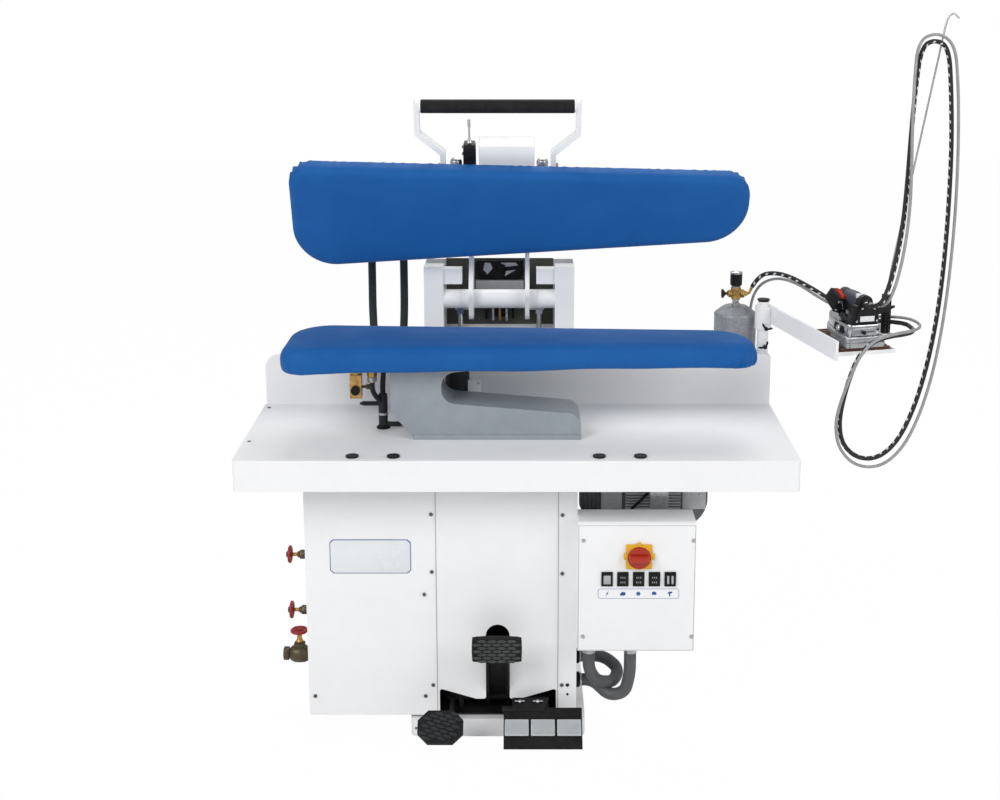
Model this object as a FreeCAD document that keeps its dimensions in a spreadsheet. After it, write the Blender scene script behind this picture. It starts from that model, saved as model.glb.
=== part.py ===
"""Garment press with a steam iron station.

Frame: origin on the floor at the middle of the base frame's bolt pattern, X to the right along the
pressing boards, Y to the back, Z up, millimetres. The head is drawn closed and then swung open.
"""
import FreeCAD, Part
import math
import os
import re

from FreeCAD import Placement, Rotation, Vector

doc = FreeCAD.newDocument("garment_press")
sheet = doc.addObject("Spreadsheet::Sheet", "sizes")

# Driving dimensions: alias, value in millimetres or degrees.
SIZES = {
    # base frame on the floor
    "base_width": 456, "base_depth": 600, "base_height": 50, "rail_width": 60, "rail_wall": 4,
    "floor_bolt_dia": 14, "front_hole_dia": 9, "front_hole_height": 22, "base_corner": 18,
    "bearer_width": 40, "bearer_height": 6, "bearer_inset": 100,
    # worktable
    "table_left": -650, "table_width": 1400, "table_front": -400, "table_depth": 491,
    "table_top": 792, "skirt_height": 80, "sheet_wall": 2, "table_corner": 10,
    "plug_dia": 32, "plug_shank_dia": 28, "plug_height": 4, "plug_inner": 255, "plug_outer": 357,
    "plug_inset": 32, "cable_hole_dia": 35, "cable_hole_x": -302, "cable_hole_y": -128,
    # upstand behind the table and the shelf on its back
    "upstand_height": 142, "upstand_lap": 60, "upstand_corner": 38, "upstand_ledge": 30,
    "upstand_left_inset": 3, "shelf_inset": 4, "shelf_width": 160, "shelf_depth": 172, "shelf_drop": 96,
    "shelf_apron": 50, "ledge_gap": 4,
    # cabinet
    "casing_left": -494, "casing_right": -174, "cabinet_setback": 10, "cabinet_back_gap": 7,
    "panel_right": 205, "slot_half_width": 31, "slot_top": 310, "cut_outer_x": 152, "cut_outer_z": 131,
    "cut_inner_x": 57, "cut_inner_z": 102, "panel_corner": 6,
    "boiler_dia": 240, "boiler_height": 500, "boiler_dome": 40, "boiler_y": -60,
    # posts and head hinge
    "post_width": 53, "post_depth": 52, "post_gap": 306, "post_top": 1179, "post_wall": 4,
    "post_setback": 1, "pivot_z": 1085, "stub_dia": 52, "shaft_dia": 30, "hub_length": 210,
    "running_gap": 0.05, "part_gap": 0.4, "head_open": 70, "block_low": 1130, "block_height": 42,
    "block_width": 51, "block_inset": 6, "guard_depth": 120, "guard_low": 640,
    # pedestal and lower board
    "pedestal_front": -229, "pedestal_depth": 128, "pedestal_left": -273, "pedestal_foot_left": -216,
    "pedestal_right": 215, "throat_left": -143, "throat_low": 889, "throat_high": 966, "throat_radius": 38,
    "duct_dia": 64, "duct_x": -109,
    "board_left": -549, "board_right": 664, "board_axis_y": -148, "board_wide": 308, "board_narrow": 192,
    "board_front_corner": 55, "board_back_corner": 112, "nose_front_corner": 62, "nose_back_corner": 118,
    "buck_skew": 8, "head_skew": 26, "board_bottom": 988, "board_chest_height": 32, "board_top": 1048,
    "board_inset": 13, "board_edge": 16, "cover_drop": 3,
    # head
    "head_gap": 0.6, "head_pad_height": 46, "head_shoe_bottom": 20, "head_shoe_height": 56,
    "arm_spacing": 154, "arm_thickness": 12, "arm_front": -226, "arm_rise": 62, "arm_foot_width": 30,
    "arm_foot_length": 180, "arm_foot_thick": 6, "arm_tie_dia": 22, "arm_tie_back": 130, "lug_pin_dia": 12,
    "lug_pin_proud": 14, "handle_dia": 33, "handle_length": 408, "handle_y": -438, "bracket_thickness": 24,
    "bracket_width": 14, "bracket_root": 146, "bracket_back": -235, "bracket_bend": -305, "bracket_knee": -362,
    "bracket_tip": 16,
    "cover_left": -51, "cover_width": 147, "cover_front": -328, "cover_depth": 96, "cover_height": 62,
    "switch_width": 33, "switch_left": -92, "whisker_dia": 5, "whisker_reach": 74,
    # balance struts behind the hinge
    "strut_spacing": 220, "strut_dia": 34, "strut_rod_dia": 14, "strut_bottom": 620, "strut_top": 960,
    "strut_lug": 66,
    # press pedal
    "pedal_setback": 65, "pedal_pivot_z": 84, "pedal_pin_dia": 16, "pedal_channel": 56,
    "pedal_pad_width": 124, "pedal_pad_height": 78, "pedal_pad_thick": 18, "pedal_reach": 165,
    "pedal_pad_z": 294, "pedal_tilt": 12, "pedal_wall": 5, "pedal_bar_dia": 26, "pedal_bar_length": 250,
    "pedal_pad_corner": 16, "pedal_seat": 6, "pedal_seat_margin": 10, "pin_proud": 15, "lug_inset": 33,
    "lug_width": 12, "lug_depth": 36, "lug_rise": 18, "hub_inset": 35, "tip_back": 33, "tip_drop": 8,
    # release pedal, left, and vacuum pedal, right
    "release_x": -112, "release_pad_width": 116, "release_pad_depth": 85, "release_pad_thick": 16,
    "release_arm_dia": 12, "release_slope": 38, "release_notch": 26, "release_drop": 4, "release_proud": 8,
    "release_out": 32, "vacuum_left": 16, "vacuum_width": 202, "vacuum_plate": 5, "vacuum_reach": 177,
    "vacuum_rise": 74, "vacuum_run": 76, "vacuum_low": 26, "vacuum_bar": 26, "vacuum_bar_height": 14,
    "vacuum_pad_width": 59, "vacuum_pad_depth": 38, "vacuum_pad_thick": 7, "vacuum_pad_start": 34,
    # control box
    "control_width": 298, "control_bottom": 263, "control_proud": 55,
    "control_height": 342, "control_hood": 38, "control_depth": 160, "hood_run": 70,
    "knob_x": 359, "knob_z": 521, "switch_plate_size": 66, "switch_plate_thick": 3, "knob_dia": 56,
    "knob_depth": 26, "knob_stem_dia": 12, "rocker_z": 460, "rocker_pitch": 40, "rocker_width": 22,
    "rocker_height": 30, "bezel_width": 29, "bezel_height": 38, "bezel_proud": 3, "bezel_deep": 14,
    "rocker_first_x": 279, "knob_bar": 14, "rocker_proud": 4, "lens_proud": 2,
    "cover_bore": 40, "rocker_clear": 1.4, "rocker_tilt": 8, "gland_dia": 40, "gland_height": 30,
    "conduit_dia": 32,
    "gland_left_x": 237, "gland_right_x": 345, "gland_y": -285,
    # vacuum blower under the table
    "blower_left": 218, "blower_right": 550, "blower_clear": 5, "blower_bottom": 533,
    "blower_corner": 80, "blower_lip": 12,
    # valves on the left side
    "valve_y": -100, "valve_upper_z": 426, "valve_lower_z": 266, "globe_z": 138, "globe_x": -546,
    "wheel_dia": 48, "wheel_rim": 9, "wheel_x": -564, "stem_dia": 9, "globe_wheel_z": 205, "inlet_dia": 17,
    "inlet_depth": 18,
    # steam separator
    "tank_inset": 79, "tank_setback": 112, "tank_dia": 118, "tank_height": 184, "tank_dome": 24,
    "nipple_dia": 20,
    "nipple_height": 18, "cross_size": 26, "cross_reach": 20, "throttle_dia": 20, "coil_dia": 32,
    "coil_height": 43, "coil_seat": 8, "outlet_reach": 34, "elbow_run": 11, "elbow_rise": 19, "elbow_dia": 11,
    "throttle_length": 18,
    # iron station
    "stand_inset": 15, "stand_setback": 57, "stand_tube_dia": 31, "stand_tube_top": 1071, "stand_tube_low": 880,
    "stand_arm_top": 1059, "stand_arm_height": 50, "stand_arm_thick": 8, "stand_collar_dia": 46,
    "stand_turn": 13.5, "tray_width": 157, "tray_length": 231, "tray_start": 197, "tray_z": 1020,
    "tray_rim": 10, "tray_wall": 2.5, "rest_thick": 14, "rest_margin": 8, "rest_ribs": 9,
    "spring_dia": 27, "spring_wire": 3.6, "spring_turns": 24, "spring_out": 74, "spring_along": 226,
    "spring_height": 108, "mast_dia": 5, "mast_top": 1858, "mast_lean": 114, "mast_back": 27,
    # iron
    "iron_width": 112, "iron_length": 205, "iron_sole": 12, "iron_body_height": 46, "iron_heel": 14,
    "grip_dia": 34, "grip_length": 128, "grip_rise": 54, "iron_post": 26, "trigger_dia": 16,
    "trigger_length": 26, "trigger_travel": 3, "shield_thick": 4, "junction_width": 66, "junction_depth": 36,
    "junction_height": 46, "junction_inset": 9, "button_box_width": 27, "button_box_length": 52,
    "outrigger_lap": 30, "outrigger_width": 28, "outrigger_thick": 8, "outrigger_end": 16,
    "wheel_hub_height": 12, "wheel_hub_dia": 16, "spoke_thick": 5, "spoke_width": 8, "wheel_stem": 40,
    "globe_stem": 44, "valve_flange_dia": 40, "valve_flange": 16, "valve_body_dia": 26, "valve_neck": 18,
    "valve_tail_out": 30, "valve_tail": 34, "valve_tail_dia": 20, "globe_end": 44, "globe_pipe_dia": 24,
    "globe_width": 36, "globe_dia": 46, "globe_nut_dia": 36, "globe_nut": 16, "bonnet_dia": 28,
    "bonnet_gap": 22, "stem_seat": 20,
    "button_box_height": 46, "grip_inset": 12, "post_inset": 26, "body_inset": 8, "shield_seat": 2,
    # fittings and hoses under the lower board, steam hoses of the head
    "fitting_x": -368, "fitting_y": -157, "fitting_z": 884, "fitting_size": 30, "fitting_height": 62,
    "cap_dia": 21, "cap_height": 7, "cap_rise": 22, "union_x": -326, "union_dia": 26, "union_nut_dia": 22,
    "union_z": 942, "union_nut_height": 17, "stand_pipe_dia": 24, "stand_pipe_top": 884, "jet_z": 858,
    "jet_length": 52, "jet_dia": 12, "jet_tip": 9, "drop_hose_dia": 14, "branch_hose_dia": 13,
    "steam_hose_dia": 22, "steam_hose_left": -345, "steam_hose_right": -278, "steam_hose_root": -60,
    "steam_hose_out": 36, "steam_hose_low": 668,
    # free leads of the iron
    "hose_dia": 12, "lead_dia": 8, "lead_gap": 0.3, "lead_start": 38, "flex_across": 46, "flex_behind": 52,
    "flex_start": 60,
}
# Places that follow from the driving dimensions, as formulas of the same sheet.
PLACES = {
    "table_back": "table_front + table_depth",
    "pivot_y": "table_back + sheet_wall + post_setback + post_depth / 2",
    "stand_x": "table_left + table_width - stand_inset",
    "stand_y": "table_back + sheet_wall + stand_setback",
    "shelf_left": "table_left + table_width - shelf_inset - shelf_width",
    "tank_x": "shelf_left + tank_inset",
    "tank_y": "table_back + sheet_wall + tank_setback",
    "cabinet_front": "-base_depth / 2 + cabinet_setback",
    "cabinet_back": "table_back - cabinet_back_gap",
    "control_front": "cabinet_front - control_proud",
    "blower_front": "control_front + control_depth + blower_clear",
    "blower_depth": "cabinet_back - blower_front",
    "pedal_pivot_y": "-base_depth / 2 + pedal_setback",
    "pedal_pad_y": "pedal_pivot_y - pedal_reach",
}
contents = {alias: str(value) for alias, value in SIZES.items()}
contents.update({alias: f"={formula}" for alias, formula in PLACES.items()})
for row, (alias, content) in enumerate(contents.items(), start=1):
    sheet.set(f"A{row}", alias)
    sheet.set(f"B{row}", content)
    sheet.setAlias(f"B{row}", alias)
    doc.recompute()


class Dimensions:
    """The sheet's cells as plain numbers, for outlines and routes."""

    def __init__(self):
        for name in contents:
            setattr(self, name, float(sheet.get(name)))


d = Dimensions()
nodes = {}


def cells(expression):
    """An expression in aliases, written as cells of the sheet."""
    return re.sub(r"\b([a-z]+_[a-z_]+)\b", r"sizes.\1", expression)


def bind(obj, **properties):
    """Tie properties of an object to the sheet."""
    for name, expression in properties.items():
        obj.setExpression(name.replace("__", "."), cells(str(expression)))


def bind_place(obj, x="0", y="0", z="0"):
    """Tie an object's place to the sheet."""
    bind(obj, Placement__Base__x=x, Placement__Base__y=y, Placement__Base__z=z)


def box(x, y, z, length, width, height):
    """A box from its lowest corner and its sizes, all as expressions."""
    obj = doc.addObject("Part::Box", "box")
    bind(obj, Length=length, Width=width, Height=height)
    bind_place(obj, x, y, z)
    return obj


AXES = {
    "x": Rotation(Vector(0, 1, 0), 90), "-x": Rotation(Vector(0, 1, 0), -90),
    "y": Rotation(Vector(1, 0, 0), -90), "-y": Rotation(Vector(1, 0, 0), 90), "z": Rotation(),
}


def rod(x, y, z, diameter, length, axis="z"):
    """A cylinder from its end's centre along an axis."""
    obj = doc.addObject("Part::Cylinder", "rod")
    obj.Placement = Placement(Vector(), AXES[axis])
    bind(obj, Radius=f"({diameter}) / 2", Height=length)
    bind_place(obj, x, y, z)
    return obj


def cone(x, y, z, diameter_low, diameter_high, length, axis="z"):
    """A cone from its end's centre along an axis."""
    obj = doc.addObject("Part::Cone", "cone")
    obj.Placement = Placement(Vector(), AXES[axis])
    bind(obj, Radius1=f"({diameter_low}) / 2", Radius2=f"({diameter_high}) / 2", Height=length)
    bind_place(obj, x, y, z)
    return obj


def fuse(*parts):
    """One solid of several overlapping or touching ones."""
    obj = doc.addObject("Part::MultiFuse", "fuse")
    obj.Shapes = list(parts)
    obj.Refine = True
    return obj


def cut(base, *tools):
    """A solid less the tools."""
    obj = doc.addObject("Part::Cut", "cut")
    obj.Base = base
    obj.Tool = tools[0] if len(tools) == 1 else group(*tools)
    return obj


def group(*parts):
    """Separate solids held together as one object."""
    obj = doc.addObject("Part::Compound", "group")
    obj.Links = list(parts)
    return obj


def shaped(shape):
    """A shape that only Part's own functions make."""
    obj = doc.addObject("Part::Feature", "form")
    obj.Shape = shape
    return obj


def node(label, obj):
    """Name a finished sub-part."""
    obj.Label = label
    nodes[label] = obj
    return obj


def edges_of(corners):
    """Lines and arcs of a closed outline: each corner is (u, v) or (u, v, radius)."""
    points = [(Vector(c[0], c[1], 0), c[2] if len(c) > 2 else 0) for c in corners]
    ends = []
    for i, (corner, radius) in enumerate(points):
        before = (points[i - 1][0] - corner).normalize()
        after = (points[(i + 1) % len(points)][0] - corner).normalize()
        if radius == 0:
            ends.append((corner, None, corner))
            continue
        half = before.getAngle(after) / 2
        reach = radius / math.tan(half)
        middle = (before + after).normalize() * (radius / math.sin(half) - radius)
        ends.append((corner + before * reach, corner + middle, corner + after * reach))
    edges = []
    for i, (start, middle, end) in enumerate(ends):
        if middle is not None:
            edges.append(Part.Arc(start, middle, end))
        following = ends[(i + 1) % len(ends)][0]
        if (following - end).Length > 1e-6:
            edges.append(Part.LineSegment(end, following))
    return edges


def sketch_on(body, role, geometry):
    """A sketch on one of the body's own origin planes."""
    plane = next(f for f in body.Origin.OriginFeatures if f.Role == role)
    sketch = body.newObject("Sketcher::SketchObject", "outline")
    sketch.AttachmentSupport = (plane, [""])
    sketch.MapMode = "FlatFace"
    sketch.addGeometry(geometry, False)
    return sketch


def pad_body(role, corners, thickness):
    """A body padded from a closed outline; its place along the plane's normal is set afterwards."""
    body = doc.addObject("PartDesign::Body", "body")
    pad = body.newObject("PartDesign::Pad", "pad")
    pad.Profile = sketch_on(body, role, edges_of(corners))
    bind(pad, Length=thickness)
    return body


def pocket(body, role, geometry, depth=None, flip=False):
    """Cut a body by a sketch, right through or to a depth, and make sure that it cuts."""
    doc.recompute()
    before = body.Shape.Volume
    feature = body.newObject("PartDesign::Pocket", "pocket")
    feature.Profile = sketch_on(body, role, geometry)
    if depth is None:
        feature.Type = 1
        feature.Midplane = True
    else:
        bind(feature, Length=depth)
        feature.Reversed = flip
    doc.recompute()
    if body.Shape.Volume > before - 1:
        raise RuntimeError(f"{body.Label}: a pocket cuts nothing")


def fillet(body, chosen, radius):
    """Round the edges of a body that a test picks."""
    doc.recompute()
    tip = body.Tip
    names = [f"Edge{i}" for i, edge in enumerate(tip.Shape.Edges, start=1) if chosen(edge)]
    feature = body.newObject("PartDesign::Fillet", "fillet")
    feature.Base = (tip, names)
    bind(feature, Radius=radius)


def circle(u, v, diameter):
    """A full circle for a sketch."""
    return Part.Circle(Vector(u, v, 0), Vector(0, 0, 1), diameter / 2)


def near(value, target):
    """Whether two lengths are the same."""
    return abs(value - target) < 1e-3


def flat_at(height):
    """A test for edges that lie flat at a height of the body's own frame."""
    return lambda edge: near(edge.BoundBox.ZMin, height) and near(edge.BoundBox.ZMax, height)


def tube(points, diameter):
    """A round tube along straight runs joined by arcs as large as the runs allow."""
    route = [Vector(*p) for p in points]
    edges = []
    start = route[0]
    radii = []
    for before, corner, after in zip(route, route[1:], route[2:]):
        back = before - corner
        ahead = after - corner
        run = min(back.Length, ahead.Length)
        half = back.getAngle(ahead) / 2
        radius = 0.45 * run * math.tan(half)
        reach = 0.45 * run
        back.normalize()
        ahead.normalize()
        middle = corner + (back + ahead).normalize() * (radius / math.sin(half) - radius)
        edges.append(Part.LineSegment(start, corner + back * reach).toShape())
        edges.append(Part.Arc(corner + back * reach, middle, corner + ahead * reach).toShape())
        start = corner + ahead * reach
        radii.append(round(radius))
    edges.append(Part.LineSegment(start, route[-1]).toShape())
    path = Part.Wire(edges)
    section = Part.Wire(Part.Circle(route[0], route[1] - route[0], diameter / 2).toShape())
    solid = path.makePipeShell([section], True, True)
    expected = math.pi * diameter ** 2 / 4 * path.Length
    print(f"tube {diameter:g}: length {path.Length:.0f}, volume {solid.Volume / expected:.4f}, radii {radii}")
    return shaped(solid)


def base_frame():
    """Ring of channel rails with solid corner feet, floor bolt holes and two bearers for the cabinet."""
    half_x = d.base_width / 2
    half_y = d.base_depth / 2
    outer = [(-half_x, -half_y, d.base_corner), (half_x, -half_y, d.base_corner),
             (half_x, half_y, d.base_corner), (-half_x, half_y, d.base_corner)]
    ring = pad_body("XY_Plane", outer, "base_height")
    inner_x = half_x - d.rail_width
    inner_y = half_y - d.rail_width
    pocket(ring, "XY_Plane", edges_of([(-inner_x, -inner_y), (inner_x, -inner_y),
                                       (inner_x, inner_y), (-inner_x, inner_y)]))
    tools = []
    for side in ("-base_width / 2", "base_width / 2 - rail_width"):
        tools.append(box(f"{side} + rail_wall", "-base_depth / 2 + rail_width", "-1",
                         "rail_width - 2 * rail_wall", "base_depth - 2 * rail_width",
                         "base_height - rail_wall + 1"))
    for side in ("-base_depth / 2", "base_depth / 2 - rail_width"):
        tools.append(box("-base_width / 2 + rail_width", f"{side} + rail_wall", "-1",
                         "base_width - 2 * rail_width", "rail_width - 2 * rail_wall",
                         "base_height - rail_wall + 1"))
    for sign_x in ("-1", "1"):
        tools.append(rod(f"{sign_x} * (base_width / 2 - 14)", "-base_depth / 2 - 1", "front_hole_height",
                         "front_hole_dia", "rail_width / 2", "y"))
        for sign_y in ("-1", "1"):
            tools.append(rod(f"{sign_x} * (base_width - rail_width) / 2",
                             f"{sign_y} * (base_depth - rail_width) / 2", "-1",
                             "floor_bolt_dia", "base_height + 2"))
    frame = cut(ring, *tools)
    bearers = [box("casing_left", f"{y}", "base_height", "panel_right - casing_left", "bearer_width",
                   "bearer_height")
               for y in ("cabinet_front + bearer_inset", "cabinet_back - bearer_inset - bearer_width")]
    node("base_frame", group(frame, *bearers))


CABINET_FLOOR = "base_height + bearer_height"
TABLE_UNDER = "table_top - sheet_wall"


def cabinet():
    """Left casing open below with the boiler in it, the pedal panel and the right side panel."""
    height = f"{TABLE_UNDER} - ({CABINET_FLOOR})"
    shell = cut(box("casing_left", "cabinet_front", CABINET_FLOOR, "casing_right - casing_left",
                    "cabinet_back - cabinet_front", height),
                box("casing_left + sheet_wall", "cabinet_front + sheet_wall", f"{CABINET_FLOOR} - 1",
                    "casing_right - casing_left - 2 * sheet_wall",
                    "cabinet_back - cabinet_front - 2 * sheet_wall", f"{height} - sheet_wall + 1"),
                rod("cable_hole_x", "cable_hole_y", f"{TABLE_UNDER} - 2 * sheet_wall", "cable_hole_dia",
                    "4 * sheet_wall"))
    node("left_casing", shell)

    floor = d.base_height + d.bearer_height
    left = d.casing_right
    right = d.panel_right
    top = d.table_top - d.sheet_wall
    arc = d.slot_half_width - 0.01
    corners = [(left, floor), (-d.cut_outer_x, floor), (-d.cut_outer_x, d.cut_outer_z, d.panel_corner),
               (-d.cut_inner_x, d.cut_inner_z), (-d.slot_half_width, d.cut_inner_z, d.panel_corner),
               (-d.slot_half_width, d.slot_top, arc), (d.slot_half_width, d.slot_top, arc),
               (d.slot_half_width, d.cut_inner_z, d.panel_corner), (d.cut_inner_x, d.cut_inner_z),
               (d.cut_outer_x, d.cut_outer_z, d.panel_corner), (d.cut_outer_x, floor), (right, floor),
               (right, top), (left, top)]
    panel = pad_body("XZ_Plane", corners, "sheet_wall")
    bind_place(panel, y="cabinet_front + sheet_wall")
    rear = box("casing_right", "cabinet_back - sheet_wall", CABINET_FLOOR,
               "panel_right - casing_right - sheet_wall",
               "sheet_wall", height)
    node("centre_panel", group(panel, rear))
    node("right_side_panel", box("panel_right - sheet_wall", "cabinet_front + sheet_wall", CABINET_FLOOR,
                                 "sheet_wall", "cabinet_back - cabinet_front - sheet_wall", height))

    middle = "(casing_left + casing_right) / 2"
    vessel = fuse(rod(middle, "boiler_y", f"{CABINET_FLOOR} + boiler_dome", "boiler_dia", "boiler_height"),
                  cone(middle, "boiler_y", f"{CABINET_FLOOR} + boiler_dome + boiler_height", "boiler_dia",
                       "boiler_dia / 2", "boiler_dome"),
                  cone(middle, "boiler_y", CABINET_FLOOR, "boiler_dia / 2", "boiler_dia", "boiler_dome"))
    plate = box(f"{middle} - boiler_dia / 2", "cabinet_front + bearer_inset", CABINET_FLOOR, "boiler_dia",
                "cabinet_back - cabinet_front - 2 * bearer_inset", "bearer_height")
    node("boiler_vessel", fuse(vessel, plate))


def worktable():
    """Sheet-metal table top with a folded skirt, four plugs and a cable hole, and its upstand."""
    left = d.table_left
    right = d.table_left + d.table_width
    front = d.table_front
    back = d.table_back
    corner = d.table_corner
    body = pad_body("XY_Plane", [(left, front, corner), (right, front, corner), (right, back, corner),
                                 (left, back, corner)], "skirt_height")
    wall = d.sheet_wall
    pocket(body, "XY_Plane", edges_of([
        (left + wall, front + wall, corner - wall), (right - wall, front + wall, corner - wall),
        (right - wall, back - wall, corner - wall), (left + wall, back - wall, corner - wall)]),
        "skirt_height - sheet_wall", True)
    plug_y = front + d.plug_inset
    holes = [circle(sign * x, plug_y, d.plug_shank_dia)
             for sign in (-1, 1) for x in (d.plug_inner, d.plug_outer)]
    holes.append(circle(d.cable_hole_x, d.cable_hole_y, d.cable_hole_dia))
    pocket(body, "XY_Plane", holes)
    bind_place(body, z="table_top - skirt_height")
    node("worktable", body)
    plugs = []
    for sign in ("-1", "1"):
        for x in ("plug_inner", "plug_outer"):
            cap = rod(f"{sign} * {x}", "table_front + plug_inset", "table_top", "plug_dia", "plug_height")
            shank = rod(f"{sign} * {x}", "table_front + plug_inset", "table_top - 4 * sheet_wall",
                        "plug_shank_dia - 2 * running_gap", "4 * sheet_wall")
            plugs.append(fuse(cap, shank))
    node("table_plugs", group(*plugs))

    low = d.table_top - d.upstand_lap
    top = d.table_top + d.upstand_height
    wall_left = left + d.upstand_left_inset
    plate = pad_body("XZ_Plane", [(wall_left, low), (right, low), (right, top, d.upstand_corner / 2),
                                  (wall_left, top, d.upstand_corner)], "sheet_wall")
    bind_place(plate, y="table_back + sheet_wall")
    behind = "table_back + sheet_wall"
    crest = "table_top + upstand_height"
    reach = "post_gap / 2 + post_width + ledge_gap"
    ledges = [box("table_left + upstand_left_inset + upstand_corner", behind, f"{crest} - sheet_wall",
                  f"-table_left - upstand_left_inset - upstand_corner - ({reach})", "upstand_ledge",
                  "sheet_wall"),
              box(reach, behind, f"{crest} - sheet_wall",
                  f"table_left + table_width - upstand_corner - ({reach})", "upstand_ledge", "sheet_wall")]
    shelf = fuse(box("shelf_left", behind, f"{crest} - shelf_drop", "shelf_width", "shelf_depth",
                     "2 * sheet_wall"),
                 box("shelf_left", behind, f"{crest} - shelf_drop - shelf_apron", "shelf_width", "2 * sheet_wall",
                     "shelf_apron"))
    node("upstand", fuse(plate, *ledges, shelf))


def posts():
    """Square tube posts with blocks at the hinge and a guard behind it, and the fixed hinge shaft."""
    solids = []
    for side in ("-post_gap / 2 - post_width", "post_gap / 2"):
        outer = box(side, "pivot_y - post_depth / 2", "base_height", "post_width", "post_depth",
                    "post_top - base_height")
        inner = box(f"{side} + post_wall", "pivot_y - post_depth / 2 + post_wall", "base_height - 1",
                    "post_width - 2 * post_wall", "post_depth - 2 * post_wall",
                    "post_top - base_height - post_wall + 1")
        solids.append(cut(outer, inner))
    blocks = [box(x, "pivot_y - post_depth / 2 + block_inset", "block_low", "block_width",
                  "post_depth - 2 * block_inset", "block_height")
              for x in ("-post_gap / 2", "post_gap / 2 - block_width")]
    outside = "(post_gap / 2 + post_width)"
    behind = "pivot_y + post_depth / 2"
    tall = "post_top - guard_low"
    guard = [box(f"-{outside}", f"{behind} + guard_depth - post_depth - sheet_wall", "guard_low",
                 f"2 * {outside}",
                 "sheet_wall", tall)]
    for x in (f"-{outside}", f"{outside} - sheet_wall"):
        guard.append(box(x, behind, "guard_low", "sheet_wall", "guard_depth - post_depth", tall))
    node("rear_posts", fuse(*solids, *blocks, *guard))
    shaft = rod("-post_gap / 2", "pivot_y", "pivot_z", "shaft_dia", "post_gap", "x")
    ends = [rod("-post_gap / 2", "pivot_y", "pivot_z", "stub_dia",
                "post_gap / 2 - hub_length / 2 - part_gap", "x"),
            rod("hub_length / 2 + part_gap", "pivot_y", "pivot_z", "stub_dia",
                "post_gap / 2 - hub_length / 2 - part_gap", "x")]
    node("pivot_shaft", fuse(shaft, *ends))


def board_plan(inset, skew):
    """Plan of a pressing board: rounded wide end, tapered sides and a nose set over to the front."""
    wide = d.board_wide / 2 - inset
    narrow = d.board_narrow / 2 - inset
    left = d.board_left + inset
    right = d.board_right - inset
    return [(left, -wide, d.board_front_corner - inset), (right, -narrow - skew, d.nose_front_corner - inset),
            (right, narrow - skew, d.nose_back_corner - inset), (left, wide, d.board_back_corner - inset)]


def board_body(inset, skew, height):
    """A prism of a board's plan, its floor at the body's origin."""
    return pad_body("XY_Plane", board_plan(inset, skew), height)


def lower_board():
    """Pedestal with its open throat, the steam chest and the padded cover drawn over its edge."""
    table = d.table_top
    corners = [(d.pedestal_left, d.board_bottom), (d.pedestal_left, table + 70, 55),
               (d.pedestal_foot_left, table + 10, 10), (d.pedestal_foot_left, table),
               (d.pedestal_right, table), (d.pedestal_right, table + 67, 36),
               (d.throat_left, d.throat_low, d.throat_radius), (d.throat_left, d.throat_high, d.throat_radius),
               (d.throat_left + 199, d.board_bottom)]
    pedestal = pad_body("XZ_Plane", corners, "pedestal_depth")
    bind_place(pedestal, y="pedestal_front + pedestal_depth")
    node("pedestal", pedestal)

    chest = board_body(d.board_inset, d.buck_skew, "board_chest_height")
    bind_place(chest, y="board_axis_y", z="board_bottom")
    node("buck_chest", chest)
    cover = board_body(0, d.buck_skew, "board_top - board_bottom - cover_drop")
    fillet(cover, flat_at(d.board_top - d.board_bottom - d.cover_drop), "board_edge")
    pocket(cover, "XY_Plane", edges_of(board_plan(d.board_inset - d.part_gap, d.buck_skew)),
           "board_chest_height - cover_drop + part_gap", True)
    bind_place(cover, y="board_axis_y", z="board_bottom + cover_drop")
    node("buck_pad", cover)


HEAD_FLOOR = "board_top + head_gap"
HEAD_TOP = f"{HEAD_FLOOR} + head_shoe_bottom + head_shoe_height"


def swung(label, *parts):
    """A sub-part of the head, drawn closed and turned about the hinge to where it rests open."""
    obj = group(*parts)
    pivot = Vector(0, d.pivot_y, d.pivot_z)
    turn = Rotation(Vector(1, 0, 0), -d.head_open)
    obj.Placement = Placement(pivot - turn.multVec(pivot), turn)
    return node(label, obj)


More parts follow.
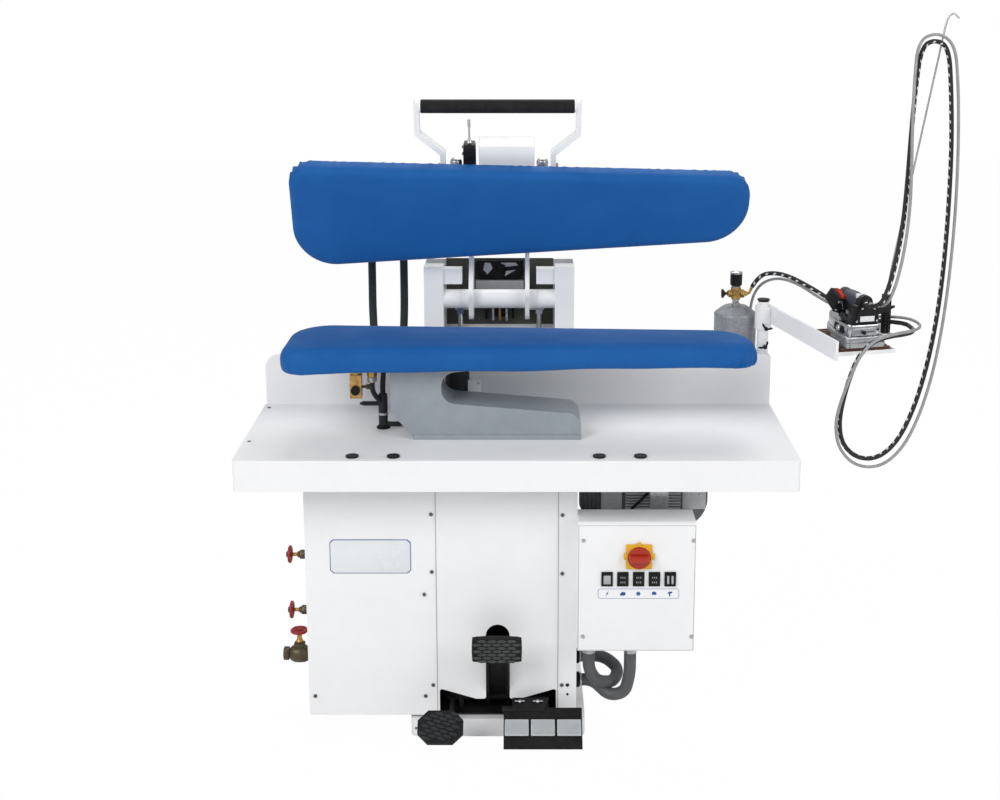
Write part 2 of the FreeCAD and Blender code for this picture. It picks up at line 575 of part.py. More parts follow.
def head():
    """Pressing head: padded face, heated shoe, arms on the hinge hub, handle, cover and limit switch."""
    pad = board_body(0, d.head_skew, "head_pad_height")
    fillet(pad, flat_at(0), "board_edge")
    shoe_seat = board_body(d.board_inset - d.part_gap, d.head_skew, "head_pad_height")
    bind_place(shoe_seat, z="head_shoe_bottom - part_gap")
    padded = cut(pad, shoe_seat)
    bind_place(padded, y="board_axis_y", z=HEAD_FLOOR)
    swung("head_pad", padded)
    shoe = board_body(d.board_inset, d.head_skew, "head_shoe_height")
    fillet(shoe, flat_at(d.head_shoe_height), "board_edge / 2")
    bind_place(shoe, y="board_axis_y", z=f"{HEAD_FLOOR} + head_shoe_bottom")
    swung("head_shoe", shoe)

    crown = d.board_top + d.head_gap + d.head_shoe_bottom + d.head_shoe_height
    lug_y = d.pivot_y + d.strut_lug * math.cos(math.radians(d.head_open / 2))
    lug_z = d.pivot_z + d.strut_lug * math.sin(math.radians(d.head_open / 2))
    hub = d.stub_dia / 2 + 18
    corners = [(d.pivot_y + hub, d.pivot_z - hub, 30), (lug_y + 16, lug_z - 14, 12), (lug_y + 16, lug_z + 16, 14),
               (d.pivot_y - hub - 40, crown + d.arm_rise, 60), (d.arm_front, crown + d.arm_rise / 2, 20),
               (d.arm_front, crown), (d.pivot_y - hub - 45, crown, 10), (d.pivot_y - hub, d.pivot_z - hub, 25)]
    arms = []
    for x in ("-arm_spacing / 2 - arm_thickness / 2", "arm_spacing / 2 - arm_thickness / 2"):
        arm = pad_body("YZ_Plane", corners, "arm_thickness")
        bind_place(arm, x=x)
        arms.append(arm)
    lug_at = ("pivot_y + strut_lug * cos(head_open / 2 * 1 deg)",
              "pivot_z + strut_lug * sin(head_open / 2 * 1 deg)")
    pin_reach = "strut_spacing / 2 - arm_spacing / 2 + lug_pin_proud"
    pins = [rod("-strut_spacing / 2 - lug_pin_proud", *lug_at, "lug_pin_dia", pin_reach, "x"),
            rod("arm_spacing / 2", *lug_at, "lug_pin_dia", pin_reach, "x")]
    feet = [box(x, "arm_front", HEAD_TOP, "arm_foot_width", "arm_foot_length", "arm_foot_thick")
            for x in ("-arm_spacing / 2 - arm_foot_width", "arm_spacing / 2")]
    tie = rod("-arm_spacing / 2", "arm_front + arm_tie_back", f"{HEAD_TOP} + arm_rise / 2", "arm_tie_dia",
              "arm_spacing", "x")
    hub_tube = rod("-hub_length / 2", "pivot_y", "pivot_z", "stub_dia", "hub_length", "x")
    bore = rod("-hub_length", "pivot_y", "pivot_z", "shaft_dia + 2 * running_gap", "2 * hub_length", "x")
    swung("head_arms", cut(fuse(*arms, *pins, *feet, tie, hub_tube), bore))

    wide = d.bracket_width / 2
    out = d.handle_length / 2 + wide
    slant = math.atan2(out - d.bracket_root, d.bracket_bend - d.bracket_knee)
    ease = wide * math.tan(slant / 2)
    tip = d.handle_y - d.bracket_tip
    brackets = []
    for sign in (-1, 1):
        bent = pad_body("XY_Plane", [
            (sign * (d.bracket_root - wide), d.bracket_back),
            (sign * (d.bracket_root - wide), d.bracket_bend - ease, 8),
            (sign * (out - wide), d.bracket_knee - ease, 8), (sign * (out - wide), tip, wide / 2),
            (sign * (out + wide), tip, wide), (sign * (out + wide), d.bracket_knee + ease, 8),
            (sign * (d.bracket_root + wide), d.bracket_bend + ease, 8),
            (sign * (d.bracket_root + wide), d.bracket_back)], "bracket_thickness")
        bind_place(bent, z=HEAD_TOP)
        brackets.append(bent)
    grip = rod("-handle_length / 2", "handle_y", f"{HEAD_TOP} + bracket_thickness / 2", "handle_dia",
               "handle_length", "x")
    swung("head_handle", group(*brackets, grip))

    swung("head_cover", box("cover_left", "cover_front", HEAD_TOP, "cover_width", "cover_depth", "cover_height"))
    swung("limit_switch", box("switch_left", "cover_front + 6", HEAD_TOP, "switch_width", "70", "32"))
    whisker_x = "switch_left + switch_width / 2"
    swung("whisker", fuse(
        rod(whisker_x, "cover_front + 6 - part_gap", f"{HEAD_TOP} + 18", "whisker_dia", "whisker_reach - 20",
            "-y"),
        rod(whisker_x, "cover_front + 26 - whisker_reach - part_gap", f"{HEAD_TOP} + 18", "whisker_dia + 3",
            "24", "-y")))


def struts():
    """Balance cylinders on a cross bar behind the posts, with rods that the head's lugs pull."""
    axis_y = "pivot_y + strut_lug * (1 + cos(head_open / 2 * 1 deg)) / 2"
    solids = []
    rods = []
    eye_z = "pivot_z - strut_lug * sin(head_open / 2 * 1 deg)"
    pin = "lug_pin_dia"
    sway = "strut_lug * (1 - cos(head_open / 2 * 1 deg)) / 2"
    bar = box("-post_gap / 2 - post_width", "pivot_y + post_depth / 2", "strut_bottom - 24",
              "post_gap + 2 * post_width", "60", "24")
    for x in ("-strut_spacing / 2", "strut_spacing / 2"):
        solids.append(cut(rod(x, axis_y, "strut_bottom - 12", "strut_dia", "strut_top - strut_bottom + 12"),
                          rod(x, axis_y, "strut_bottom + 20", "strut_rod_dia + 2 * running_gap",
                              "strut_top - strut_bottom")))
        block = box(f"{x} - 9", f"{axis_y} - 18", f"{eye_z} - 15", "18", "36", "30")
        slot = box(f"{x} - 20", f"{axis_y} - ({sway}) - {pin} / 2 - 1.5", f"{eye_z} - {pin} / 2 - 1.5",
                   "40", f"2 * ({sway}) + {pin} + 3", f"{pin} + 3")
        stem = rod(x, axis_y, "strut_bottom + 60", "strut_rod_dia", f"{eye_z} - strut_bottom - 60 - 10")
        rods.append(cut(fuse(block, stem), slot))
    node("strut_cylinders", fuse(bar, *solids))
    node("strut_rods", group(*rods))


def lever_outline(start, end, half_start, half_end):
    """A tapered bar between two points of the side view, as corners."""
    along = Vector(end[0] - start[0], end[1] - start[1], 0).normalize()
    side = Vector(-along.y, along.x, 0)
    first = Vector(start[0], start[1], 0)
    last = Vector(end[0], end[1], 0)
    points = [first - side * half_start, last - side * half_end, last + side * half_end,
              first + side * half_start]
    return [(p.x, p.y) for p in points]


def pedals():
    """Three pedals on one pin: press in the middle, release on the left and vacuum on the right."""
    pin_end = "pedal_bar_length / 2 + pin_proud"
    lug = "pedal_bar_length / 2 - lug_inset"
    lugs = [box(x, "pedal_pivot_y - lug_depth / 2", "base_height", "lug_width", "lug_depth",
                "pedal_pivot_z - base_height + lug_rise")
            for x in (f"-({lug}) - lug_width", lug)]
    pin = rod(f"-({pin_end})", "pedal_pivot_y", "pedal_pivot_z", "pedal_pin_dia", f"2 * ({pin_end})", "x")
    node("pedal_bracket", fuse(*lugs, pin))
    bore = "pedal_pin_dia + 2 * running_gap"

    pivot = (d.pedal_pivot_y, d.pedal_pivot_z)
    tip = (d.pedal_pad_y + d.tip_back, d.pedal_pad_z - d.tip_drop)
    solids = []
    for x in ("-pedal_channel / 2", "pedal_channel / 2 - pedal_wall"):
        cheek = pad_body("YZ_Plane", lever_outline(pivot, tip, 26, 20), "pedal_wall")
        bind_place(cheek, x=x)
        solids.append(cheek)
    web = pad_body("YZ_Plane", lever_outline(pivot, tip, d.pedal_wall / 2, d.pedal_wall / 2), "pedal_channel")
    bind_place(web, x="-pedal_channel / 2")
    hub = rod("-pedal_bar_length / 2 + hub_inset", "pedal_pivot_y", "pedal_pivot_z", "pedal_bar_dia",
              "pedal_bar_length - 2 * hub_inset", "x")
    drill = rod("-pedal_bar_length", "pedal_pivot_y", "pedal_pivot_z", bore, "2 * pedal_bar_length", "x")
    seat = doc.addObject("Part::Box", "seat")
    margin = d.pedal_seat_margin
    bind(seat, Length="pedal_pad_width - 2 * pedal_seat_margin", Width="pedal_seat",
         Height="pedal_pad_height - 2 * pedal_seat_margin")
    lean = Rotation(Vector(1, 0, 0), d.pedal_tilt)
    centre = Vector(0, d.pedal_pad_y, d.pedal_pad_z)
    seat.Placement = Placement(centre + lean.multVec(
        Vector(-d.pedal_pad_width / 2 + margin, d.pedal_pad_thick / 2, -d.pedal_pad_height / 2 + margin)), lean)
    node("press_pedal", cut(fuse(*solids, web, hub, seat), drill))
    half_w = d.pedal_pad_width / 2
    half_h = d.pedal_pad_height / 2
    corner = d.pedal_pad_corner
    pad = pad_body("XZ_Plane", [(-half_w, -half_h, corner), (half_w, -half_h, corner), (half_w, half_h, corner),
                                (-half_w, half_h, corner)], "pedal_pad_thick")
    pad.Placement = Placement(centre + lean.multVec(Vector(0, d.pedal_pad_thick / 2, 0)), lean)
    node("press_pedal_pad", pad)

    arm_x = f"-({lug}) - 28"
    reach = "pedal_pivot_y - pedal_pad_y"
    arm = fuse(rod(arm_x, "pedal_pivot_y", "pedal_pivot_z", "release_arm_dia", reach, "-y"),
               rod(f"-({lug}) - 41", "pedal_pivot_y", "pedal_pivot_z", "pedal_bar_dia", "26", "x"))
    wide = d.release_pad_width / 2
    deep = d.release_pad_depth / 2
    notch = d.release_notch
    slope = Rotation(Vector(1, 0, 0), d.release_slope)
    tread = pad_body("XY_Plane", [(-wide, -deep + notch), (-wide + notch, -deep), (wide - notch, -deep),
                                  (wide, -deep + notch), (wide, deep - notch), (wide - notch, deep),
                                  (-wide + notch, deep), (-wide, deep - notch)], "release_pad_thick")
    tread.Placement = Placement(Vector(d.release_x - d.release_out, d.pedal_pad_y - d.release_proud,
                                        d.pedal_pivot_z - d.release_drop), slope)
    arm_cut = cut(arm, rod("-pedal_bar_length", "pedal_pivot_y", "pedal_pivot_z", bore, "2 * pedal_bar_length",
                           "x"))
    node("release_pedal", fuse(arm_cut, tread))

    foot = (d.pedal_pivot_y - d.vacuum_reach, d.vacuum_low)
    crest = (foot[0] + d.vacuum_run, foot[1] + d.vacuum_rise)
    half = d.vacuum_plate / 2
    plate = pad_body("YZ_Plane", lever_outline(foot, crest, half, half), "vacuum_width")
    bind_place(plate, x="vacuum_left")
    bar_start = "pedal_pivot_y - vacuum_reach + vacuum_run - 6"
    reach = box(f"{lug} + 15", bar_start, "pedal_pivot_z + 2", "vacuum_bar", f"pedal_pivot_y - ({bar_start})",
                "vacuum_bar_height")
    boss = rod(f"{lug} + 15", "pedal_pivot_y", "pedal_pivot_z", "pedal_bar_dia + 6", "vacuum_bar", "x")
    node("vacuum_pedal", cut(fuse(plate, reach, boss),
                             rod("0", "pedal_pivot_y", "pedal_pivot_z", bore, "2 * pedal_bar_length", "x")))
    along = Vector(0, d.vacuum_run, d.vacuum_rise).normalize()
    face = Vector(0, -along.z, along.y)
    pads = []
    for i in range(3):
        pad = doc.addObject("Part::Box", "pad")
        bind(pad, Length="vacuum_pad_width", Width="vacuum_pad_depth", Height="vacuum_pad_thick")
        turn = Rotation(Vector(1, 0, 0), math.degrees(math.atan2(along.z, along.y)))
        x = d.vacuum_left + (i + 0.5) * d.vacuum_width / 3 - d.vacuum_pad_width / 2
        start = Vector(x, *foot) + along * d.vacuum_pad_start + face * (d.vacuum_plate / 2)
        pad.Placement = Placement(start, turn)
        pads.append(pad)
    node("vacuum_pads", group(*pads))


def revolved(corners):
    """A body turned about the vertical axis from half of its section."""
    body = doc.addObject("PartDesign::Body", "turned")
    sketch = sketch_on(body, "XZ_Plane", edges_of(corners))
    feature = body.newObject("PartDesign::Revolution", "revolution")
    feature.Profile = sketch
    feature.ReferenceAxis = (sketch, ["V_Axis"])
    feature.Angle = 360
    return body


def control_box():
    """Folded box with a slanted hood and a screwed cover that carries the switches."""
    front = d.control_front
    back = front + d.control_depth
    low = d.control_bottom
    high = low + d.control_height
    roof = high + d.control_hood
    shell = pad_body("YZ_Plane", [(front, low, 3), (front, high, 3), (front + d.hood_run, roof, 3), (back, roof),
                                  (back, low, 3)], "control_width")
    bind_place(shell, x="panel_right")
    inside = ("panel_right + sheet_wall", "control_width - 2 * sheet_wall")
    hollow = box(inside[0], "control_front - 1", "control_bottom + sheet_wall", inside[1],
                 "control_depth - sheet_wall + 1", "control_height - 2 * sheet_wall")
    attic = box(inside[0], "control_front + hood_run", "control_bottom + control_height - 2 * sheet_wall",
                inside[1], "control_depth - hood_run - sheet_wall", "control_hood")
    cover = box(inside[0], "control_front", "control_bottom + sheet_wall", inside[1], "sheet_wall",
                "control_height - 2 * sheet_wall")
    stem_bore = rod("knob_x", "control_front - cover_bore / 2", "knob_z", "knob_stem_dia + 2 * running_gap",
                    "cover_bore", "y")
    openings = [stem_bore]
    frames = []
    width = "rocker_width + 2 * part_gap"
    height = "rocker_height + 2 * rocker_clear"
    for i in range(5):
        x = f"(rocker_first_x + {i} * rocker_pitch)"
        window = box(f"{x} - ({width}) / 2", "control_front - cover_bore / 2", f"rocker_z - ({height}) / 2",
                     width, "cover_bore", height)
        openings.append(window)
        flange = box(f"{x} - bezel_width / 2", "control_front - bezel_proud", "rocker_z - bezel_height / 2",
                     "bezel_width", "bezel_proud", "bezel_height")
        frames.append(cut(flange, window))
    node("control_box", group(cut(shell, hollow, attic), cut(cover, *openings)))
    lens = box("rocker_first_x - rocker_width / 2 - part_gap", "control_front - bezel_proud - lens_proud",
               "rocker_z - rocker_height / 2 - rocker_clear", width, "bezel_deep - 3 * lens_proud", height)
    node("switch_bezels", group(*frames, lens))
    for i in range(1, 5):
        x = f"(rocker_first_x + {i} * rocker_pitch)"
        rocker = group(box(f"{x} - rocker_width / 2", "control_front - bezel_proud - rocker_proud",
                           "rocker_z - rocker_height / 2", "rocker_width", "bezel_deep", "rocker_height"))
        pivot = Vector(0, d.control_front, d.rocker_z)
        tilt = Rotation(Vector(1, 0, 0), -d.rocker_tilt)
        rocker.Placement = Placement(pivot - tilt.multVec(pivot), tilt)
        node(f"rocker_{i}", rocker)
    plate = box("knob_x - switch_plate_size / 2", "control_front - switch_plate_thick",
                "knob_z - switch_plate_size / 2", "switch_plate_size", "switch_plate_thick", "switch_plate_size")
    node("switch_plate", cut(plate, stem_bore))
    face = "control_front - switch_plate_thick - part_gap"
    knob = fuse(rod("knob_x", face, "knob_z", "knob_dia", "knob_depth / 3", "-y"),
                box("knob_x - knob_dia / 2 + 1", f"{face} - knob_depth", "knob_z - knob_bar / 2", "knob_dia - 2",
                    "knob_depth", "knob_bar"),
                rod("knob_x", face, "knob_z", "knob_stem_dia", "switch_plate_thick + part_gap + 16", "y"))
    node("main_knob", knob)

    glands = []
    for x in ("gland_left_x", "gland_right_x"):
        nut = rod(x, "gland_y", "control_bottom - gland_height / 2", "gland_dia", "gland_height / 2")
        glands.append(fuse(nut,
                           cone(x, "gland_y", "control_bottom - gland_height", "gland_dia - 6", "gland_dia",
                                "gland_height / 2")))
    node("cable_glands", group(*glands))
    outlet = d.control_bottom - d.gland_height
    side = d.panel_right
    left, right, y = d.gland_left_x, d.gland_right_x, d.gland_y
    routes = [
        [(left, y, outlet), (left, y, outlet - 48), (left + 22, y + 15, outlet - 92),
         (left + 68, y + 36, outlet - 104), (left + 84, y + 72, outlet - 84), (left + 44, y + 95, outlet - 58),
         (side, y + 95, outlet - 58)],
        [(right, y, outlet), (right, y, outlet - 62), (right - 12, y + 6, outlet - 118),
         (right - 52, y + 20, outlet - 134), (right - 96, y + 46, outlet - 102), (side, y + 46, outlet - 102)],
    ]
    node("conduits", group(*[tube(route, d.conduit_dia) for route in routes]))


def blower():
    """Vacuum blower housing under the table, with a rounded lower corner and a lip round its front."""
    def scroll(inset):
        low = d.blower_bottom + inset
        top = d.table_top - d.sheet_wall
        return [(d.blower_left + inset, top), (d.blower_left + inset, low, 20),
                (d.blower_right - inset, low, d.blower_corner - inset), (d.blower_right - inset, top)]
    housing = pad_body("XZ_Plane", scroll(d.blower_lip), "blower_depth")
    bind_place(housing, y="blower_front + blower_depth")
    lips = []
    for y in ("blower_front + blower_lip", "blower_front + blower_depth / 2 + blower_lip / 2",
              "blower_front + blower_depth"):
        lip = pad_body("XZ_Plane", scroll(0), "blower_lip")
        bind_place(lip, y=y)
        lips.append(lip)
    node("blower_housing", fuse(housing, *lips))


def handwheel(label, x, y, z, stem, axis):
    """A small spoked wheel on its stem; the stem points back into the valve."""
    outward = {"x": "-x", "z": "z"}[axis]
    rim = doc.addObject("Part::Torus", "rim")
    rim.Placement = Placement(Vector(), AXES[outward])
    bind(rim, Radius1="wheel_dia / 2 - wheel_rim / 2", Radius2="wheel_rim / 2")
    bind_place(rim, x, y, z)
    span = "wheel_dia - wheel_rim"
    back, half = f"({span}) / 2", "spoke_width / 2"
    if axis == "x":
        hub = rod(f"{x} - wheel_hub_height / 2", y, z, "wheel_hub_dia", "wheel_hub_height", "x")
        shaft = rod(x, y, z, "stem_dia", stem, "x")
        face = f"{x} - spoke_thick / 2"
        spokes = [box(face, f"{y} - {back}", f"{z} - {half}", "spoke_thick", span, "spoke_width"),
                  box(face, f"{y} - {half}", f"{z} - {back}", "spoke_thick", "spoke_width", span)]
    else:
        hub = rod(x, y, f"{z} - wheel_hub_height / 2", "wheel_hub_dia", "wheel_hub_height")
        shaft = rod(x, y, f"{z} - ({stem})", "stem_dia", stem)
        face = f"{z} - spoke_thick / 2"
        spokes = [box(f"{x} - {half}", f"{y} - {back}", face, "spoke_width", span, "spoke_thick"),
                  box(f"{x} - {back}", f"{y} - {half}", face, span, "spoke_width", "spoke_thick")]
    node(label, fuse(rim, hub, shaft, *spokes))


def valves():
    """Two angle valves and a globe valve on the casing's left wall, each with its handwheel."""
    bore = "stem_dia + 2 * running_gap"
    bodies = []
    for z in ("valve_upper_z", "valve_lower_z"):
        body = fuse(rod("casing_left", "valve_y", z, "valve_flange_dia", "valve_flange", "-x"),
                    rod("casing_left", "valve_y", z, "valve_body_dia", "casing_left - wheel_x - valve_neck",
                        "-x"),
                    rod("casing_left - valve_tail_out", "valve_y", f"{z} - valve_tail", "valve_tail_dia",
                        "valve_tail"))
        bodies.append(cut(body, rod("wheel_x", "valve_y", z, bore, "globe_end", "x")))
    outlet = "globe_x - globe_end"
    body = fuse(rod("casing_left", "valve_y", "globe_z", "globe_pipe_dia", f"casing_left - ({outlet})", "-x"),
                rod("globe_x - globe_width / 2", "valve_y", "globe_z", "globe_dia", "globe_width", "x"),
                rod(outlet, "valve_y", "globe_z", "globe_nut_dia", "globe_nut", "x"),
                rod("globe_x", "valve_y", "globe_z", "bonnet_dia", "globe_wheel_z - globe_z - bonnet_gap"))
    inlet = rod(outlet, "valve_y", "globe_z", "inlet_dia", "inlet_depth", "x")
    seat = rod("globe_x", "valve_y", "globe_z + stem_seat", bore, "globe_wheel_z - globe_z")
    bodies.append(cut(body, seat, inlet))
    node("valve_bodies", group(*bodies))
    handwheel("valve_wheel_upper", "wheel_x", "valve_y", "valve_upper_z", "wheel_stem", "x")
    handwheel("valve_wheel_lower", "wheel_x", "valve_y", "valve_lower_z", "wheel_stem", "x")
    handwheel("globe_wheel", "globe_x", "valve_y", "globe_wheel_z", "globe_stem", "z")


SHELF_TOP = "table_top + upstand_height - shelf_drop + 2 * sheet_wall"
TANK_TOP = f"{SHELF_TOP} + tank_height + tank_dome"
CROSS = f"{TANK_TOP} + nipple_height + cross_size / 2"


def cross_height():
    """Height of the brass cross's middle as a number."""
    shelf = d.table_top + d.upstand_height - d.shelf_drop + 2 * d.sheet_wall
    return shelf + d.tank_height + d.tank_dome + d.nipple_height + d.cross_size / 2


def separator():
    """Insulated steam separator on the shelf, with brass cross, solenoid and throttle on top."""
    radius = d.tank_dia / 2
    height = d.tank_height
    tank = revolved([(0, 0), (radius, 0, 5), (radius, height, 9),
                     (radius * 0.55, height + d.tank_dome * 0.85, 20), (d.nipple_dia / 2, height + d.tank_dome),
                     (0, height + d.tank_dome)])
    bind_place(tank, "tank_x", "tank_y", SHELF_TOP)
    node("separator_tank", tank)
    nipple = rod("tank_x", "tank_y", TANK_TOP, "nipple_dia", "nipple_height")
    block = rod("tank_x", "tank_y", f"{TANK_TOP} + nipple_height", "cross_size", "cross_size + coil_seat")
    arms = rod("tank_x - cross_reach", "tank_y", CROSS, "nipple_dia", "cross_reach + outlet_reach", "x")
    bore = rod("tank_x - cross_reach - 1", "tank_y", CROSS, "stem_dia + 2 * running_gap", "cross_reach + 1", "x")
    coil = rod("tank_x", "tank_y", f"{TANK_TOP} + nipple_height + cross_size + coil_seat", "coil_dia",
               "coil_height")
    cross = cross_height()
    bend = d.tank_x + d.outlet_reach
    elbow = tube([(bend - d.outlet_reach / 2, d.tank_y, cross), (bend, d.tank_y, cross),
                  (bend + d.elbow_run, d.tank_y, cross + d.elbow_rise)], d.elbow_dia)
    node("separator_fittings", group(cut(fuse(nipple, block, arms, elbow), bore), coil))
    knob = fuse(rod("tank_x - cross_reach - part_gap", "tank_y", CROSS, "throttle_dia", "throttle_length", "-x"),
                rod("tank_x - cross_reach - part_gap", "tank_y", CROSS, "stem_dia", "throttle_length", "x"))
    node("throttle_knob", knob)


def on_stand(label, *parts):
    """A sub-part of the iron station, drawn along the arm and turned to where the arm points."""
    obj = group(*parts)
    obj.Placement = Placement(Vector(d.stand_x, d.stand_y, 0), Rotation(Vector(0, 0, 1), d.stand_turn))
    return node(label, obj)


def biarc(start, start_way, end, end_way):
    """Two tangent arcs from one point and direction to another."""
    gap = end - start
    both = start_way + end_way
    spread = 2 * (1 - start_way.dot(end_way))
    reach = (-gap.dot(both) + math.sqrt(gap.dot(both) ** 2 + spread * gap.dot(gap))) / spread
    first = start + start_way * reach
    second = end - end_way * reach
    joint = (first + second) * 0.5
    halves = ((start, first, joint), (joint, second, end))
    return [Part.Arc(a, bulge(a, apex, b), b).toShape() for a, apex, b in halves]


def bulge(start, apex, end):
    """The middle of the arc that touches the lines from its ends to the apex."""
    middle = (start + end) * 0.5
    half = (apex - start).getAngle(end - start)
    return middle + (apex - middle) * (math.tan(half / 2) / math.tan(half))


def coil_spring(centre, low, height, diameter, wire, turns):
    """One unbroken wire wound up from a height, by biarcs of a quarter turn."""
    radius = (diameter - wire) / 2
    pitch = (height - wire) / turns
    steps = int(turns) * 4

    def at(step):
        angle = step * math.pi / 2
        return Vector(centre[0] + radius * math.cos(angle), centre[1] + radius * math.sin(angle),
                      low + wire / 2 + pitch * step / 4)

    def way(step):
        angle = step * math.pi / 2
        rise = pitch / (2 * math.pi * radius)
        return Vector(-math.sin(angle), math.cos(angle), rise).normalize()

    edges = []
    for step in range(steps):
        edges += biarc(at(step), way(step), at(step + 1), way(step + 1))
    section = Part.Wire(Part.Circle(at(0), way(0), wire / 2).toShape())
    print(f"spring: least gap between turns {pitch - wire:.2f}")
    return shaped(Part.Wire(edges).makePipeShell([section], True, False))


def iron_stand():
    """Post on the upstand, swinging arm with the iron tray and its ribbed rest, spring and lead mast."""
    behind = "table_back + sheet_wall"
    bracket = box("stand_x - 15", behind, "stand_tube_low + 6", "30", f"stand_y - ({behind})", "40")
    pole = rod("stand_x", "stand_y", "stand_tube_low", "stand_tube_dia", "stand_tube_top - stand_tube_low")
    ring = rod("stand_x", "stand_y", "stand_arm_top - stand_arm_height - part_gap - 14", "stand_collar_dia", "14")
    node("stand_post", fuse(bracket, pole, ring))

    bar_x = "(stand_collar_dia / 2 - 6)"
    tray_x = f"({bar_x} + stand_arm_thick)"
    collar = rod("0", "0", "stand_arm_top - stand_arm_height", "stand_collar_dia", "stand_arm_height")
    bar = box(bar_x, "-tray_start - tray_length", "stand_arm_top - stand_arm_height", "stand_arm_thick",
              "tray_start + tray_length", "stand_arm_height")
    tray = cut(box(tray_x, "-tray_start - tray_length", "tray_z", "tray_width", "tray_length", "tray_rim"),
               box(f"{tray_x} + tray_wall", "-tray_start - tray_length + tray_wall", "tray_z + tray_wall",
                   "tray_width - 2 * tray_wall", "tray_length - 2 * tray_wall", "tray_rim"))
    outrigger = box(f"{tray_x} + tray_width - outrigger_lap", "-spring_along - outrigger_width / 2",
                    "tray_z - outrigger_thick", "spring_out + outrigger_lap + outrigger_end", "outrigger_width",
                    "outrigger_thick")
    bore = rod("0", "0", "stand_tube_low", "stand_tube_dia + 2 * running_gap", "stand_tube_top")
    on_stand("stand_arm", cut(fuse(collar, bar, tray, outrigger), bore))

    margin = "(tray_wall + rest_margin)"
    pad = box(f"{tray_x} + {margin}", f"-tray_start - tray_length + {margin}", "tray_z + tray_wall",
              f"tray_width - 2 * {margin}", f"tray_length - 2 * {margin}", "rest_thick")
    pitch = f"((tray_length - 2 * {margin}) / rest_ribs)"
    grooves = [box(f"{tray_x}", f"-tray_start - tray_length + {margin} + ({i} + 0.3) * {pitch}",
                   "tray_z + tray_wall + rest_thick / 2", "tray_width", f"{pitch} * 0.4", "rest_thick")
               for i in range(int(d.rest_ribs))]
    on_stand("iron_rest", cut(pad, *grooves))

    spring_x = d.stand_collar_dia / 2 - 6 + d.stand_arm_thick + d.tray_width + d.spring_out
    spring_y = -d.spring_along
    on_stand("stand_spring", coil_spring((spring_x, spring_y), d.tray_z, d.spring_height, d.spring_dia,
                                         d.spring_wire, d.spring_turns))
    top = d.mast_top
    lean_x = spring_x + d.mast_lean
    lean_y = spring_y - d.mast_back
    mast = tube([(spring_x, spring_y, d.tray_z), (spring_x + 1, spring_y, d.tray_z + d.spring_height + 20),
                 (lean_x, lean_y, top - 22), (lean_x + 6, lean_y - 3, top), (lean_x + 20, lean_y - 6, top + 8),
                 (lean_x + 32, lean_y - 8, top - 6)], d.mast_dia)
    on_stand("stand_rod", mast)


def iron():
    """Steam iron on the rest: sole, cast body, handle on its posts with the rear shield, and trigger."""
    low = d.tray_z + d.tray_wall + d.rest_thick + d.part_gap
    middle = d.stand_collar_dia / 2 - 6 + d.stand_arm_thick + d.tray_width / 2
    heel = -d.tray_start - d.tray_length + 6
    nose = heel + d.iron_length

    def plan(inset):
        half = d.iron_width / 2 - inset
        return [(middle - half, heel + inset, 12), (middle + half, heel + inset, 12),
                (middle + half * 0.92, heel + d.iron_length * 0.5, 60), (middle, nose - inset * 1.6, 12),
                (middle - half * 0.92, heel + d.iron_length * 0.5, 60)]

    sole = pad_body("XY_Plane", plan(0), "iron_sole")
    bind_place(sole, z="tray_z + tray_wall + rest_thick + part_gap")
    on_stand("iron_sole", sole)
    body = pad_body("XY_Plane", plan(d.body_inset), "iron_body_height")
    fillet(body, flat_at(d.iron_body_height), "iron_heel")
    bind_place(body, z="tray_z + tray_wall + rest_thick + part_gap + iron_sole")
    on_stand("iron_body", body)

    deck = low + d.iron_sole + d.iron_body_height
    grip_z = deck + d.grip_rise
    side = d.iron_post / 2
    posts_at = (heel + d.post_inset, heel + d.post_inset + d.grip_length - d.iron_post)
    start = heel + d.grip_inset
    handle = shaped(Part.makeCylinder(d.grip_dia / 2, d.grip_length, Vector(middle, start, grip_z),
                                      Vector(0, 1, 0)))
    solids = [handle]
    for y in posts_at:
        solids.append(shaped(Part.makeBox(d.iron_post, d.iron_post, d.grip_rise,
                                          Vector(middle - side, y - side, deck))))
    junction = box(f"{middle} - junction_width / 2", f"{heel} + junction_inset", f"{deck}", "junction_width",
                   "junction_depth", "junction_height")
    buttons = box(f"{middle - side} - button_box_width", f"{posts_at[1]} - button_box_length / 2",
                  f"{grip_z} - button_box_height", "button_box_width", "button_box_length", "button_box_height")
    half = d.junction_width / 2
    foot = deck + d.shield_seat
    shield = pad_body("XZ_Plane", [(middle - half, foot, 5), (middle + half, foot, 5),
                                   (middle + half - 3, deck + d.junction_height, 7),
                                   (middle - half + 7, deck + d.junction_height, 7)], "shield_thick")
    bind_place(shield, y=f"{heel} + junction_inset")
    mouth = heel + d.grip_length - 4
    well = rod(f"{middle}", f"{mouth}", f"{grip_z}", "trigger_dia + 1", "grip_length", "y")
    on_stand("iron_grip", group(fuse(cut(fuse(*solids, junction, buttons), well), shield)))
    press = shaped(Part.makeCylinder(d.trigger_dia / 2, d.trigger_length,
                                     Vector(middle, mouth + d.trigger_travel + 1, grip_z), Vector(0, 1, 0)))
    on_stand("iron_trigger", press)


